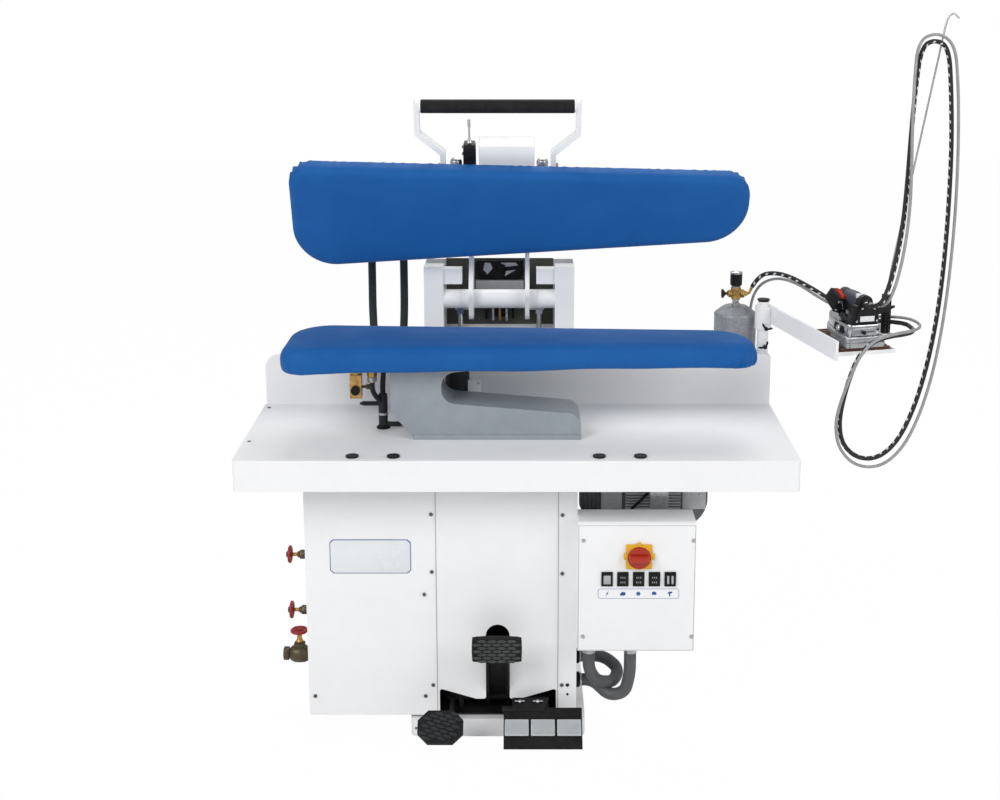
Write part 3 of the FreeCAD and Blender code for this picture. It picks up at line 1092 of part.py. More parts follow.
def plumbing():
    """Fittings under the lower board, the hoses that the machine holds, and the head's two steam hoses."""
    half = "fitting_size / 2"
    block = fuse(box(f"fitting_x - {half}", f"fitting_y - {half}", "fitting_z", "fitting_size", "fitting_size",
                     "fitting_height"),
                 rod("fitting_x", "fitting_y", "fitting_z + fitting_height", "nipple_dia",
                     "board_bottom - fitting_z - fitting_height"),
                 rod("fitting_x", f"fitting_y - {half}", "fitting_z + cap_rise", "cap_dia", "cap_height", "-y"))
    union = fuse(rod("union_x", "fitting_y", "union_z", "union_dia", "board_bottom - union_z"),
                 rod("union_x", "fitting_y", "union_z - union_nut_height", "union_nut_dia", "union_nut_height"))
    node("buck_fittings", group(block, union))
    pipe = rod("cable_hole_x", "cable_hole_y", "table_top - cable_hole_dia", "stand_pipe_dia",
               "stand_pipe_top - table_top + cable_hole_dia")
    jet = fuse(rod("cable_hole_x", "cable_hole_y", "jet_z", "jet_dia", "jet_length", "-x"),
               cone("cable_hole_x - jet_length", "cable_hole_y", "jet_z", "jet_dia", "jet_dia / 3", "jet_tip",
                    "-x"))
    x, y, top = d.cable_hole_x, d.cable_hole_y, d.stand_pipe_top
    neck = d.union_z - d.union_nut_height
    side = tube([(d.union_x, d.fitting_y, neck), (d.union_x, d.fitting_y, neck - 24),
                 (d.union_x + 9, d.fitting_y + 10, top - 4), (x, y, top - 26)], d.branch_hose_dia)
    riser = tube([(x, y, top - 8), (x, y, top + 26), (x + 4, y - 9, top + 64), (x + 4, y - 9, d.board_bottom)],
                 d.drop_hose_dia)
    flat = d.table_top + d.branch_hose_dia / 2 + 2
    duct_y = d.pedestal_front + d.pedestal_depth + d.duct_dia / 2 + d.part_gap
    branch = tube([(x, y, flat + 4), (x + 32, y + 1, flat), (x + 60, y + 17, flat), (x + 82, y + 44, flat),
                   (x + 116, duct_y - 4, flat), (d.duct_x - d.duct_dia / 4, duct_y, flat)], d.branch_hose_dia)
    duct = rod("duct_x", "pedestal_front + pedestal_depth + duct_dia / 2 + part_gap", "table_top", "duct_dia",
               "board_bottom - table_top")
    node("buck_hoses", fuse(pipe, jet, side, riser, branch, duct))

    back = d.cabinet_back
    hinge = Vector(0, d.pivot_y, d.pivot_z)
    swing = Rotation(Vector(1, 0, 0), -d.head_open)
    crown = d.board_top + d.head_gap + d.head_shoe_bottom + d.head_shoe_height
    root = hinge + swing.multVec(Vector(0, d.steam_hose_root, crown) - hinge)
    out = swing.multVec(Vector(0, 0, d.steam_hose_out))
    foot = d.steam_hose_low
    axis = d.pivot_y
    hoses = []
    for x, lean in ((d.steam_hose_left, -6), (d.steam_hose_right, 5)):
        route = [(x, root.y, root.z), (x, root.y + out.y, root.z + out.z), (x + lean, axis + 52, foot + 594),
                 (x + lean * 2, axis + 70, foot + 532), (x + lean * 2, axis + 72, foot + 452),
                 (x + lean * 2, axis + 66, foot + 362), (x + lean, axis + 54, foot + 272),
                 (x + lean / 2, axis + 44, foot + 182), (x, axis + 38, foot + 102), (x, axis + 34, foot + 38),
                 (x, back + 44, foot), (x, back, foot)]
        hoses.append(tube(route, d.steam_hose_dia))
    node("head_hoses", group(*hoses))


# Routes of the iron's leads, from the stand's foot and the tray's height.
HOSE_FEED = [
    (28, 32, 126), (68, 4, 122), (112, -38, 104), (170, -74, 72), (231, -104, 34),
    (279, -124, 24), (313, -142, 26),
]
FLEX_FEED = [
    (-21, 104, -40), (-20, 95, 36), (2, 72, 88), (44, 34, 112), (93, -12, 103),
    (149, -52, 68), (209, -76, 42), (265, -100, 32), (305, -124, 36), (327, -146, 40),
]
HOSE_LOOP = [
    (313, -142, 26), (351.8, -162.6, 28.3), (359, -226, 27), (338, -300, 36), (300, -365, 46),
    (250, -410, 52), (200, -432, 42), (166, -440, 4), (149, -436, -50), (139, -419, -112),
    (137, -393, -178), (153, -365, -245), (200, -342, -292), (260, -322, -298), (311, -304, -260),
    (350, -286, -190), (380, -268, -105), (403, -252, -10), (421, -236, 100),
    (433, -220, 220), (441, -202, 360), (443, -190, 510), (436, -182, 650),
    (425, -178, 758), (388.6, -180, 779), (350.5, -190, 761), (331, -228, 653),
    (313, -278, 540), (295, -336, 420), (273, -394, 310), (227, -485, 196),
    (208, -454.5, 129), (189.4, -376.5, 129),
]
FLEX_LOOP = [
    (327, -146, 40), (355, -174, 45.1), (375, -226, 42), (355, -306, 48), (314, -380, 58),
    (259, -428, 63), (202, -450, 52), (164, -457, 8), (144, -452, -52), (129, -433, -116),
    (124, -406, -182), (143, -378, -255), (195, -354, -310), (265, -334, -318), (323, -316, -275),
    (365, -298, -198), (396, -280, -108), (418, -264, -12), (435, -248, 100),
    (447, -232, 216), (455, -216, 332), (458, -204, 450), (456, -196, 566),
    (450, -190, 672), (438, -188, 766), (392, -190, 798), (339, -200, 778),
    (325, -238, 680), (315, -278, 584), (306, -326, 480), (296, -372, 378),
    (275, -424, 282), (243, -481, 196), (224.7, -450.5, 129), (206, -372.5, 129),
]


def by_stand(route):
    """A route from the stand's foot and the tray's height, in the machine's frame."""
    return [Vector(d.stand_x + x, d.stand_y + y, d.tray_z + z) for x, y, z in route]


def clear_of_start(route):
    """A route whose first point stands off the lead that it carries on."""
    first = route[0] + (route[1] - route[0]).normalize() * d.lead_gap
    return [first] + route[1:]


def leads():
    """Steam hose and flex of the iron: from the separator to the spring, then round the mast to the iron."""
    outlet = Vector(d.tank_x + d.outlet_reach + d.elbow_run, d.tank_y, cross_height() + d.elbow_rise)
    ahead = Vector(d.elbow_run, 0, d.elbow_rise).normalize() * d.lead_start
    feed_hose = [outlet, outlet + ahead, *by_stand(HOSE_FEED)]
    shelf = d.table_top + d.upstand_height - d.shelf_drop + 2 * d.sheet_wall
    behind = Vector(d.tank_x + d.flex_across, d.tank_y + d.flex_behind, shelf)
    feed_flex = [behind, behind + Vector(0, 0, d.flex_start), *by_stand(FLEX_FEED)]
    node("iron_leads_feed", group(tube(feed_hose, d.hose_dia), tube(feed_flex, d.lead_dia)))
    loop_hose = clear_of_start(by_stand(HOSE_LOOP))
    loop_flex = clear_of_start(by_stand(FLEX_LOOP))
    node("iron_leads_loop", group(tube(loop_hose, d.hose_dia), tube(loop_flex, d.lead_dia)))


def build():
    """Make every sub-part, make sure that each is sound, and write its file."""
    for section in (base_frame, cabinet, worktable, posts, lower_board, head, struts, pedals, control_box,
                    blower, valves, separator, iron_stand, iron, plumbing, leads):
        section()
    doc.recompute()
    broken = [obj.Label for obj in doc.Objects if {"Invalid", "Error"} & set(obj.State)]
    broken += [label for label, obj in nodes.items() if obj.Shape.isNull() or not obj.Shape.isValid()]
    if broken:
        raise RuntimeError(f"not sound: {broken}")
    os.makedirs("parts", exist_ok=True)
    for label, obj in nodes.items():
        obj.Shape.exportStep(f"parts/{label}.step")
    print(f"{len(nodes)} sub-parts written")


build()
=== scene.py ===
"""Looks of the garment press: finishes, soft covers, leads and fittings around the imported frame."""
import logging
import math
from dataclasses import dataclass, field
from enum import Enum
from typing import Callable, Optional, Sequence

import bmesh
import bpy
from mathutils import Matrix, Vector


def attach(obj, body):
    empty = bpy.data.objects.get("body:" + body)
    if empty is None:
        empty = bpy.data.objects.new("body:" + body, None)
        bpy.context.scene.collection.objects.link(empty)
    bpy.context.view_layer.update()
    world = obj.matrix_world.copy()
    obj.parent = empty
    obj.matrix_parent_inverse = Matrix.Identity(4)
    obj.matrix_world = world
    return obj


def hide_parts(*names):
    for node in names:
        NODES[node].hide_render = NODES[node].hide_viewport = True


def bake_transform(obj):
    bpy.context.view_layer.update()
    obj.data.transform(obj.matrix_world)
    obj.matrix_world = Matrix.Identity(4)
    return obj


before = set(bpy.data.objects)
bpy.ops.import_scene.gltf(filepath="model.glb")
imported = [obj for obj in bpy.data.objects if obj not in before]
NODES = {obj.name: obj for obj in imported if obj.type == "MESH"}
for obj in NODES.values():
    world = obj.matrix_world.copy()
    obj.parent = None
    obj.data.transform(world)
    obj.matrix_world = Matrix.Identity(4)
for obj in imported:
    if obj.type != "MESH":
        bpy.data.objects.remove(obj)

LOG = logging.getLogger("garment_press")
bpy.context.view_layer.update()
MM = 0.001
CORNER_STEPS = 64
FACE_ROWS = 14
FLECK_PITCH = 0.024

Object = bpy.types.Object
Material = bpy.types.Material
Node = bpy.types.Node
NodeTree = bpy.types.NodeTree
Socket = bpy.types.NodeSocket
Colour = tuple[float, float, float]
Point = tuple[float, float, float]
Outline = Sequence[tuple[float, float]]


class Body(str, Enum):
    """The moving bodies that pieces ride on."""

    FRAME = "frame"
    HEAD = "head"
    PRESS_PEDAL = "press_pedal"
    RELEASE_PEDAL = "release_pedal"
    VACUUM_PEDAL = "vacuum_pedal"
    KNOB = "main_knob"
    ROCKER_1 = "rocker_1"
    ROCKER_2 = "rocker_2"
    ROCKER_3 = "rocker_3"
    ROCKER_4 = "rocker_4"
    STAND = "iron_stand"
    IRON = "iron"
    TRIGGER = "iron_trigger"
    THROTTLE = "throttle_knob"
    VALVE_UPPER = "valve_wheel_upper"
    VALVE_LOWER = "valve_wheel_lower"


def mm(*values: float) -> Vector:
    """A point given in millimetres."""
    return Vector(values) * MM


def shift(x: float, y: float, z: float) -> Matrix:
    """A move given in millimetres."""
    return Matrix.Translation(mm(x, y, z))


def turn(axis: str, degrees: float) -> Matrix:
    """A turn about one of the axes."""
    return Matrix.Rotation(math.radians(degrees), 4, axis)


UPRIGHT = turn("X", 90)
SIDE_ON = Matrix(((0, 0, 1, 0), (1, 0, 0, 0), (0, 1, 0, 0), (0, 0, 0, 1)))
PIVOT = mm(0, 120, 1085)
OPEN_HEAD = Matrix.Translation(PIVOT) @ turn("X", -70) @ Matrix.Translation(-PIVOT)
ON_STAND = shift(735, 150, 0) @ turn("Z", 13.5)


class Axis(Enum):
    """Directions of a piece drawn along z: the turn's own axis and angle in degrees."""

    X = ("Y", 90)
    Y = ("X", -90)
    Z = ("Z", 0)

    def turn(self, against: bool = False) -> Matrix:
        """The turn from z to this direction, or to the opposite one.

        Args:
            against: Whether the piece points against the direction.

        Returns:
            The turn.
        """
        return turn(*self.value) @ (turn("X", 180) if against else Matrix.Identity(4))


@dataclass(frozen=True)
class Finish:
    """A surface finish: two close colours mottled together, a gloss range and a fine relief.

    Attributes:
        name: Name of the material.
        slot: The record's slot that it mostly stands for; not used.
        colour: Main colour, linear.
        tint: Second colour of the mottling, linear.
        gloss: Roughness at the smooth and at the rough end of the mottling.
        metal: Metallic share.
        mottle: Size of the mottling, in patches per metre.
        grain: Size of the relief, in grains per metre.
        relief: Depth of the relief, in metres.
        coat: Weight of a clear coat.
        shine: Level of the mirror-like reflection.
    """

    name: str
    slot: str
    colour: Colour
    tint: Colour
    gloss: tuple[float, float] = (0.35, 0.5)
    metal: float = 0.0
    mottle: float = 12.0
    grain: float = 900.0
    relief: float = 0.0
    coat: float = 0.0
    shine: float = 0.5


def feed(tree: NodeTree, target: Node, inputs: dict[str | int, object]) -> None:
    """Link sockets to a node's inputs, or set constants on them.

    Args:
        tree: The node tree to work in.
        target: The node.
        inputs: A socket or a constant for each input.
    """
    for key, value in inputs.items():
        if isinstance(value, Socket):
            tree.links.new(value, target.inputs[key])
        else:
            target.inputs[key].default_value = value


def add_node(tree: NodeTree, kind: str, inputs: dict[str | int, object], **settings: object) -> Node:
    """Add a shader node with its settings and inputs.

    Args:
        tree: The node tree to work in.
        kind: The node's type without its prefix.
        inputs: A socket or a constant for each input.
        settings: The node's own settings.

    Returns:
        The node.
    """
    made = tree.nodes.new(f"ShaderNode{kind}")
    for name, value in settings.items():
        setattr(made, name, value)
    feed(tree, made, inputs)
    return made


class Effects:
    """Shader node groups that several finishes share."""

    def __init__(self) -> None:
        """Build the groups once."""
        self.mottling = self._mottling()
        self.relief = self._relief()
        self.weave = self._weave()

    @staticmethod
    def _group(name: str, scale: float, output: str) -> tuple[NodeTree, dict[str, Socket], Node]:
        """Start a node group that reads coordinates and a scale.

        Args:
            name: Name of the group.
            scale: Scale to start with.
            output: Name of its output.

        Returns:
            The group, its inputs and its output node.
        """
        group = bpy.data.node_groups.new(name, "ShaderNodeTree")
        group.interface.new_socket("Vector", in_out="INPUT", socket_type="NodeSocketVector")
        group.interface.new_socket("Scale", in_out="INPUT", socket_type="NodeSocketFloat").default_value = scale
        group.interface.new_socket(output, in_out="OUTPUT", socket_type="NodeSocketFloat")
        source = group.nodes.new("NodeGroupInput").outputs
        return group, {name: source[name] for name in ("Vector", "Scale")}, group.nodes.new("NodeGroupOutput")

    def _mottling(self) -> NodeTree:
        """Soft patches that mix two tones of a finish."""
        group, source, sink = self._group("mottling", 12, "Mask")
        noise = add_node(group, "TexNoise", {**source, "Detail": 6, "Roughness": 0.62})
        spread = add_node(group, "MapRange", {"Value": noise.outputs["Fac"], "From Min": 0.32, "From Max": 0.68})
        feed(group, sink, {"Mask": spread.outputs["Result"]})
        return group

    def _relief(self) -> NodeTree:
        """Fine pebbled height of powder coat, rubber or castings."""
        group, source, sink = self._group("fine_relief", 900, "Height")
        cells = add_node(group, "TexVoronoi", source, feature="SMOOTH_F1")
        noise = add_node(group, "TexNoise", {**source, "Detail": 3})
        total = add_node(group, "Math", {0: cells.outputs["Distance"], 1: noise.outputs["Fac"]}, operation="ADD")
        feed(group, sink, {"Height": total.outputs["Value"]})
        return group

    def _weave(self) -> NodeTree:
        """Crossed threads of a woven cloth as a height."""
        group, source, sink = self._group("weave", 900, "Height")
        across, up = (add_node(group, "TexWave", {**source, "Distortion": 0.6, "Detail": 1},
                               bands_direction=direction) for direction in ("X", "Y"))
        product = add_node(group, "Math", {0: across.outputs["Fac"], 1: up.outputs["Fac"]}, operation="MULTIPLY")
        feed(group, sink, {"Height": product.outputs["Value"]})
        return group


class PaintShop:
    """Makes each finish once and hands out its material."""

    def __init__(self, effects: Effects) -> None:
        """Keep the shared effects.

        Args:
            effects: The node groups that finishes use.
        """
        self.effects = effects
        self.made: dict[str, Material] = {}

    def place(self, tree: NodeTree, effect: NodeTree, scale: float, vector: Socket) -> Socket:
        """Put a shared effect into a material.

        Args:
            tree: The material's node tree.
            effect: The effect.
            scale: The effect's size there.
            vector: The coordinates that it reads.

        Returns:
            What the effect gives.
        """
        return add_node(tree, "Group", {"Scale": scale, "Vector": vector}, node_tree=effect).outputs[0]

    def start(self, name: str) -> tuple[NodeTree, Node, Node]:
        """Start a node material.

        Args:
            name: Name of the material.

        Returns:
            Its node tree, its Principled shader and its texture coordinates.
        """
        material = bpy.data.materials.new(name)
        material.use_nodes = True
        self.made[name] = material
        tree = material.node_tree
        return tree, tree.nodes["Principled BSDF"], add_node(tree, "TexCoord", {})

    def two_tone(self, tree: NodeTree, shader: Node, mask: Socket, finish: Finish) -> None:
        """Mix a finish's two tones and its gloss by a mask.

        Args:
            tree: The material's node tree.
            shader: Its Principled shader.
            mask: The mottling.
            finish: The finish that gives the tones.
        """
        mix = add_node(tree, "Mix", {"Factor": mask}, data_type="RGBA")
        mix.inputs["A"].default_value = (*finish.colour, 1)
        mix.inputs["B"].default_value = (*finish.tint, 1)
        low, high = finish.gloss
        gloss = add_node(tree, "MapRange", {"Value": mask, "To Min": low, "To Max": high})
        feed(tree, shader, {"Base Color": mix.outputs["Result"], "Roughness": gloss.outputs["Result"]})

    def bump(self, tree: NodeTree, shader: Node, height: Socket, depth: float) -> None:
        """Raise a finish's surface by a height.

        Args:
            tree: The material's node tree.
            shader: Its Principled shader.
            height: The height to read.
            depth: The depth in metres.
        """
        raised = add_node(tree, "Bump", {"Strength": 0.6, "Distance": depth, "Height": height})
        feed(tree, shader, {"Normal": raised.outputs["Normal"]})

    def get(self, finish: Finish) -> Material:
        """The material of a plain finish, made on first use.

        Args:
            finish: The finish.

        Returns:
            Its material.
        """
        if finish.name not in self.made:
            tree, shader, coordinates = self.start(finish.name)
            vector = coordinates.outputs["Object"]
            self.two_tone(tree, shader, self.place(tree, self.effects.mottling, finish.mottle, vector), finish)
            feed(tree, shader, {"Metallic": finish.metal, "Coat Weight": finish.coat,
                                "Specular IOR Level": finish.shine})
            if finish.relief > 0:
                height = self.place(tree, self.effects.relief, finish.grain, vector)
                self.bump(tree, shader, height, finish.relief)
        return self.made[finish.name]


WHITE_COAT = Finish("white_coat", "white_paint", (0.9, 0.905, 0.915), (0.87, 0.875, 0.885), (0.38, 0.52), mottle=9,
                    grain=620, relief=0.00035)
PEDESTAL_PAINT = Finish("pedestal_paint", "pedestal_paint", (0.31, 0.345, 0.385), (0.27, 0.302, 0.34), (0.34, 0.5),
                        mottle=14, grain=480, relief=0.0003)
BLACK_COAT = Finish("black_coat", "black_paint", (0.006, 0.006, 0.007), (0.014, 0.014, 0.015), (0.4, 0.58), mottle=30,
                    grain=700, relief=0.0003, shine=0.16)
CAST_METAL = Finish("cast_aluminium", "cast_aluminium", (0.5, 0.51, 0.52), (0.4, 0.41, 0.43), (0.3, 0.52), metal=0.9,
                    mottle=26, grain=420, relief=0.00035)
CHROME = Finish("polished_metal", "polished_metal", (0.62, 0.63, 0.65), (0.52, 0.53, 0.56), (0.1, 0.24), metal=1.0,
                mottle=40, grain=160, relief=0.00012)
ZINC = Finish("bright_zinc", "zinc_steel", (0.6, 0.61, 0.62), (0.46, 0.47, 0.49), (0.22, 0.42), metal=1.0, mottle=60)
BRASS = Finish("raw_brass", "brass", (0.62, 0.40, 0.14), (0.42, 0.25, 0.08), (0.22, 0.46), metal=1.0, mottle=70,
               grain=900, relief=0.0002)
BLACK_RUBBER = Finish("tread_rubber", "black_rubber", (0.008, 0.008, 0.009), (0.02, 0.02, 0.021), (0.55, 0.78),
                      mottle=40, grain=1100, relief=0.0003, shine=0.16)
DARK_HOSE = Finish("dark_hose", "hose_rubber", (0.02, 0.024, 0.026), (0.036, 0.04, 0.043), (0.5, 0.68), mottle=30,
                   grain=900, relief=0.0004, shine=0.2)
GREY_CONDUIT = Finish("grey_conduit", "grey_plastic", (0.1, 0.104, 0.108), (0.075, 0.078, 0.082), (0.42, 0.6),
                      mottle=24)
BLACK_PLASTIC = Finish("black_plastic", "black_plastic", (0.006, 0.006, 0.007), (0.014, 0.014, 0.015), (0.3, 0.46),
                       mottle=50, grain=1500, relief=0.0002, shine=0.22)
RED_PLASTIC = Finish("red_plastic", "red_plastic", (0.46, 0.026, 0.008), (0.37, 0.02, 0.007), (0.22, 0.34), mottle=40)
YELLOW_PLASTIC = Finish("yellow_plastic", "yellow_plastic", (0.78, 0.44, 0.012), (0.7, 0.37, 0.01), (0.34, 0.46),
                        mottle=30)
RED_ENAMEL = Finish("red_enamel", "red_paint", (0.36, 0.016, 0.018), (0.24, 0.012, 0.014), (0.26, 0.5), mottle=70,
                    grain=700, relief=0.0003)
BROWN_SILICONE = Finish("brown_silicone", "brown_silicone", (0.115, 0.048, 0.032), (0.085, 0.036, 0.025), (0.5, 0.68),
                        mottle=40, grain=900, relief=0.0002)
GRIP_PLASTIC = Finish("grip_plastic", "grip_plastic", (0.024, 0.028, 0.036), (0.04, 0.045, 0.055), (0.34, 0.5),
                      mottle=50, grain=1300, relief=0.0003)
JACKET = Finish("boiler_jacket", "boiler_jacket", (0.5, 0.5, 0.48), (0.42, 0.42, 0.4), (0.5, 0.7), mottle=20,
                grain=300, relief=0.0006)
BLOWER_GREY = Finish("blower_enamel", "blower_paint", (0.13, 0.135, 0.145), (0.1, 0.104, 0.112), (0.36, 0.55),
                     mottle=16, grain=500, relief=0.0003)
PALE_RUBBER = Finish("pale_rubber", "pale_rubber", (0.43, 0.45, 0.46), (0.36, 0.38, 0.39), (0.5, 0.7), mottle=30,
                     grain=1000, relief=0.0003)
LIGHT_FLEX = Finish("light_flex", "hose_rubber", (0.34, 0.345, 0.35), (0.27, 0.275, 0.28), (0.42, 0.58), mottle=40,
                    grain=1200, relief=0.0002)
BARE_PLATE = Finish("bare_plate", "cast_aluminium", (0.8, 0.82, 0.84), (0.76, 0.79, 0.82), (0.2, 0.3), mottle=10,
                    coat=0.3)
PRINT_PALE = Finish("print_pale", "white_paint", (0.32, 0.42, 0.58), (0.3, 0.4, 0.56), (0.35, 0.45), mottle=30)
# Painted highlight: the pedals' raised tread tiles are the same black rubber, coloured lighter where light catches
# them.
TREAD_HIGHLIGHT = Finish("tread_highlight", "black_rubber", (0.055, 0.06, 0.056), (0.035, 0.038, 0.036), (0.5, 0.7), mottle=60,
                    grain=1000, relief=0.0002)
FOIL = Finish("foil_jacket", "silver_jacket", (0.36, 0.38, 0.41), (0.24, 0.255, 0.275), (0.3, 0.55), metal=0.55,
              mottle=160, grain=420, relief=0.0006)
GRIP_LEATHER = Finish("grip_leather", "grip_plastic", (0.035, 0.042, 0.058), (0.055, 0.064, 0.085), (0.42, 0.6),
                      mottle=70, grain=800, relief=0.0003)
BLOWER_PLATE = Finish("blower_plate", "blower_paint", (0.5, 0.51, 0.52), (0.42, 0.43, 0.44), (0.4, 0.55), mottle=20)
BRONZE = Finish("aged_bronze", "brass", (0.13, 0.104, 0.062), (0.075, 0.06, 0.036), (0.32, 0.55), metal=0.75,
                mottle=60, grain=600, relief=0.0002)
# Painted shade: a dark olive sheet that stands for the shade inside the hinge's guard.
HINGE_SHADE = Finish("hinge_shade_sheet", "black_paint", (0.1, 0.106, 0.09), (0.075, 0.08, 0.066), (0.5, 0.7), mottle=20,
                shine=0.3)
SCREW_STEEL = Finish("screw_steel", "zinc_steel", (0.2, 0.21, 0.22), (0.12, 0.126, 0.134), (0.24, 0.4), metal=1.0,
                     mottle=60)
SEAM_SHADE = Finish("seam_shade", "white_paint", (0.42, 0.43, 0.445), (0.38, 0.39, 0.4), (0.5, 0.6))
PRINT_BLUE = Finish("print_blue", "white_paint", (0.02, 0.075, 0.3), (0.016, 0.062, 0.26), (0.3, 0.42), mottle=30)
BLUE_CLOTH = Finish("blue_cloth", "blue_cloth", (0.006, 0.108, 0.375), (0.005, 0.094, 0.335), (0.56, 0.7), mottle=7,
                    grain=260, relief=0.00025, shine=0.22)
FLECKED_HOSE = Finish("flecked_hose", "hose_rubber", (0.014, 0.014, 0.016), (0.66, 0.67, 0.68), (0.7, 0.7), grain=130,
                      relief=0.0006)


class Bench:
    """Models pieces with operators, as by hand, and hands them over dressed."""

    def __init__(self, shop: PaintShop) -> None:
        """Keep the paint shop.

        Args:
            shop: Where finishes come from.
        """
        self.shop = shop

    @staticmethod
    def clear() -> None:
        """Leave edit mode and deselect everything."""
        if bpy.context.object and bpy.context.object.mode != "OBJECT":
            bpy.ops.object.mode_set(mode="OBJECT")
        bpy.ops.object.select_all(action="DESELECT")

    def choose(self, obj: Object) -> None:
        """Make one object the only selected and the active one."""
        self.clear()
        obj.select_set(True)
        bpy.context.view_layer.objects.active = obj

    def settle(self, obj: Object, matrix: Optional[Matrix] = None) -> Object:
        """Move an object and bake its transform into its mesh.

        Args:
            obj: The object.
            matrix: Where it goes, or None to stay.

        Returns:
            The object.
        """
        self.choose(obj)
        if matrix is not None:
            obj.matrix_world = matrix @ obj.matrix_world
        bpy.ops.object.transform_apply(location=True, rotation=True, scale=True)
        return obj

    def modify(self, obj: Object, kind: str, **settings: object) -> None:
        """Add a modifier with its settings and apply it."""
        self.choose(obj)
        modifier = obj.modifiers.new(kind.lower(), kind)
        for name, value in settings.items():
            setattr(modifier, name, value)
        bpy.ops.object.modifier_apply(modifier=modifier.name)

    def soften(self, obj: Object, width: float, segments: int = 3, angle: float = 35) -> Object:
        """Round the sharp edges of an object and shade it smooth.

        Args:
            obj: The object.
            width: Width of the rounding in millimetres.
            segments: Faces across the rounding.
            angle: Least angle of an edge that is rounded, in degrees.

        Returns:
            The object.
        """
        if width > 0:
            self.modify(obj, "BEVEL", width=width * MM, segments=segments, limit_method="ANGLE",
                        angle_limit=math.radians(angle), harden_normals=False)
        self.choose(obj)
        bpy.ops.object.shade_smooth_by_angle(angle=math.radians(angle))
        return obj

    @staticmethod
    def named(name: str) -> Object:
        """Name the active object, which an operator has just made."""
        bpy.context.object.name = name
        return bpy.context.object

    @staticmethod
    def open_up() -> None:
        """Go into edit mode with everything selected."""
        bpy.ops.object.mode_set(mode="EDIT")
        bpy.ops.mesh.select_all(action="SELECT")

    @staticmethod
    def close_up() -> None:
        """Turn all faces outward and leave edit mode."""
        bpy.ops.mesh.select_all(action="SELECT")
        bpy.ops.mesh.normals_make_consistent(inside=False)
        bpy.ops.object.mode_set(mode="OBJECT")

    @staticmethod
    def extrude(x: float, y: float, z: float) -> None:
        """Draw the selected faces out by millimetres."""
        bpy.ops.mesh.extrude_region_move(TRANSFORM_OT_translate={"value": (x * MM, y * MM, z * MM)})

    def block(self, name: str, low: Point, high: Point, edge: float = 1.0, matrix: Optional[Matrix] = None) -> Object:
        """A block between two corners with rounded edges.

        Args:
            name: Name of the piece.
            low: Lowest corner in millimetres.
            high: Highest corner in millimetres.
            edge: Width of its rounded edges in millimetres.
            matrix: Where it goes, or None to stay.

        Returns:
            The object.
        """
        self.clear()
        bottom, top = mm(*low), mm(*high)
        bpy.ops.mesh.primitive_cube_add(size=1, location=(bottom + top) / 2, scale=top - bottom)
        return self.soften(self.settle(self.named(name), matrix), edge)

    def turned(self, name: str, steps: Outline, at: Point, axis: Axis = Axis.Z, edge: float = 0.6, sides: int = 40,
               matrix: Optional[Matrix] = None, flip: bool = False) -> Object:
        """A round piece drawn out of a disc step by step, as on a lathe.

        Args:
            name: Name of the piece.
            steps: Radius and distance along the axis at each step, in millimetres.
            at: Place of the axis's start in millimetres.
            axis: Direction of the axis.
            edge: Width of its rounded edges in millimetres.
            sides: Faces round it.
            matrix: Where it goes, or None to stay.
            flip: Whether it grows against the axis.

        Returns:
            The object.
        """
        self.clear()
        radius, along = steps[0]
        bpy.ops.mesh.primitive_circle_add(vertices=sides, radius=radius * MM, fill_type="NGON",
                                          location=(0, 0, along * MM))
        obj = self.settle(self.named(name))
        self.open_up()
        for (before, low), (after, high) in zip(steps, steps[1:]):
            self.extrude(0, 0, high - low)
            scale = after / before
            bpy.ops.transform.resize(value=(scale, scale, 1), center_override=(0, 0, high * MM))
        self.close_up()
        place = shift(*at) @ axis.turn(flip)
        self.settle(obj, place if matrix is None else matrix @ place)
        return self.soften(obj, edge, 2)

    def plate(self, name: str, corners: Outline, thickness: float, place: Matrix, edge: float = 0.8) -> Object:
        """A flat plate of any outline, drawn in its own plane and laid where it goes.

        Args:
            name: Name of the piece.
            corners: Outline in millimetres, anticlockwise.
            thickness: Thickness in millimetres, along the plane's normal.
            place: Where its plane goes.
            edge: Width of its rounded edges in millimetres.

        Returns:
            The object.
        """
        self.clear()
        bpy.ops.mesh.primitive_circle_add(vertices=len(corners), radius=1, fill_type="NGON")
        obj = self.named(name)
        for vertex, (u, v) in zip(obj.data.vertices, corners):
            vertex.co = mm(u, v, 0)
        self.open_up()
        self.extrude(0, 0, thickness)
        self.close_up()
        return self.soften(self.settle(obj, place), edge, 2)

    def copy(self, obj: Object, name: str, matrix: Matrix) -> Object:
        """A copy of a piece with its own mesh, moved.

        Args:
            obj: The piece.
            name: Name of the copy.
            matrix: Where the copy goes.

        Returns:
            The copy.
        """
        twin = obj.copy()
        twin.data = obj.data.copy()
        twin.name = name
        bpy.context.collection.objects.link(twin)
        return self.settle(twin, matrix)

    def join(self, name: str, pieces: Sequence[Object]) -> Object:
        """Several pieces made one object.

        Args:
            name: Name of the whole.
            pieces: The pieces.

        Returns:
            The joined object.
        """
        self.choose(pieces[0])
        for piece in pieces:
            piece.select_set(True)
        bpy.ops.object.join()
        return self.named(name)

    def dress(self, obj: Object, finish: Finish, body: Body = Body.FRAME, slot: str = "",
              replaces: Sequence[str] = ()) -> None:
        """Give a piece its finish and its body.

        Args:
            obj: The piece.
            finish: Its finish.
            body: The body that it rides on.
            slot: The material slot that it takes, if not the finish's own; not used.
            replaces: Nodes that it stands for.
        """
        obj.data.materials.clear()
        obj.data.materials.append(self.shop.get(finish))
        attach(obj, body.value)
        if replaces:
            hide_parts(*replaces)
        LOG.info("%s rides on %s", obj.name, body.value)


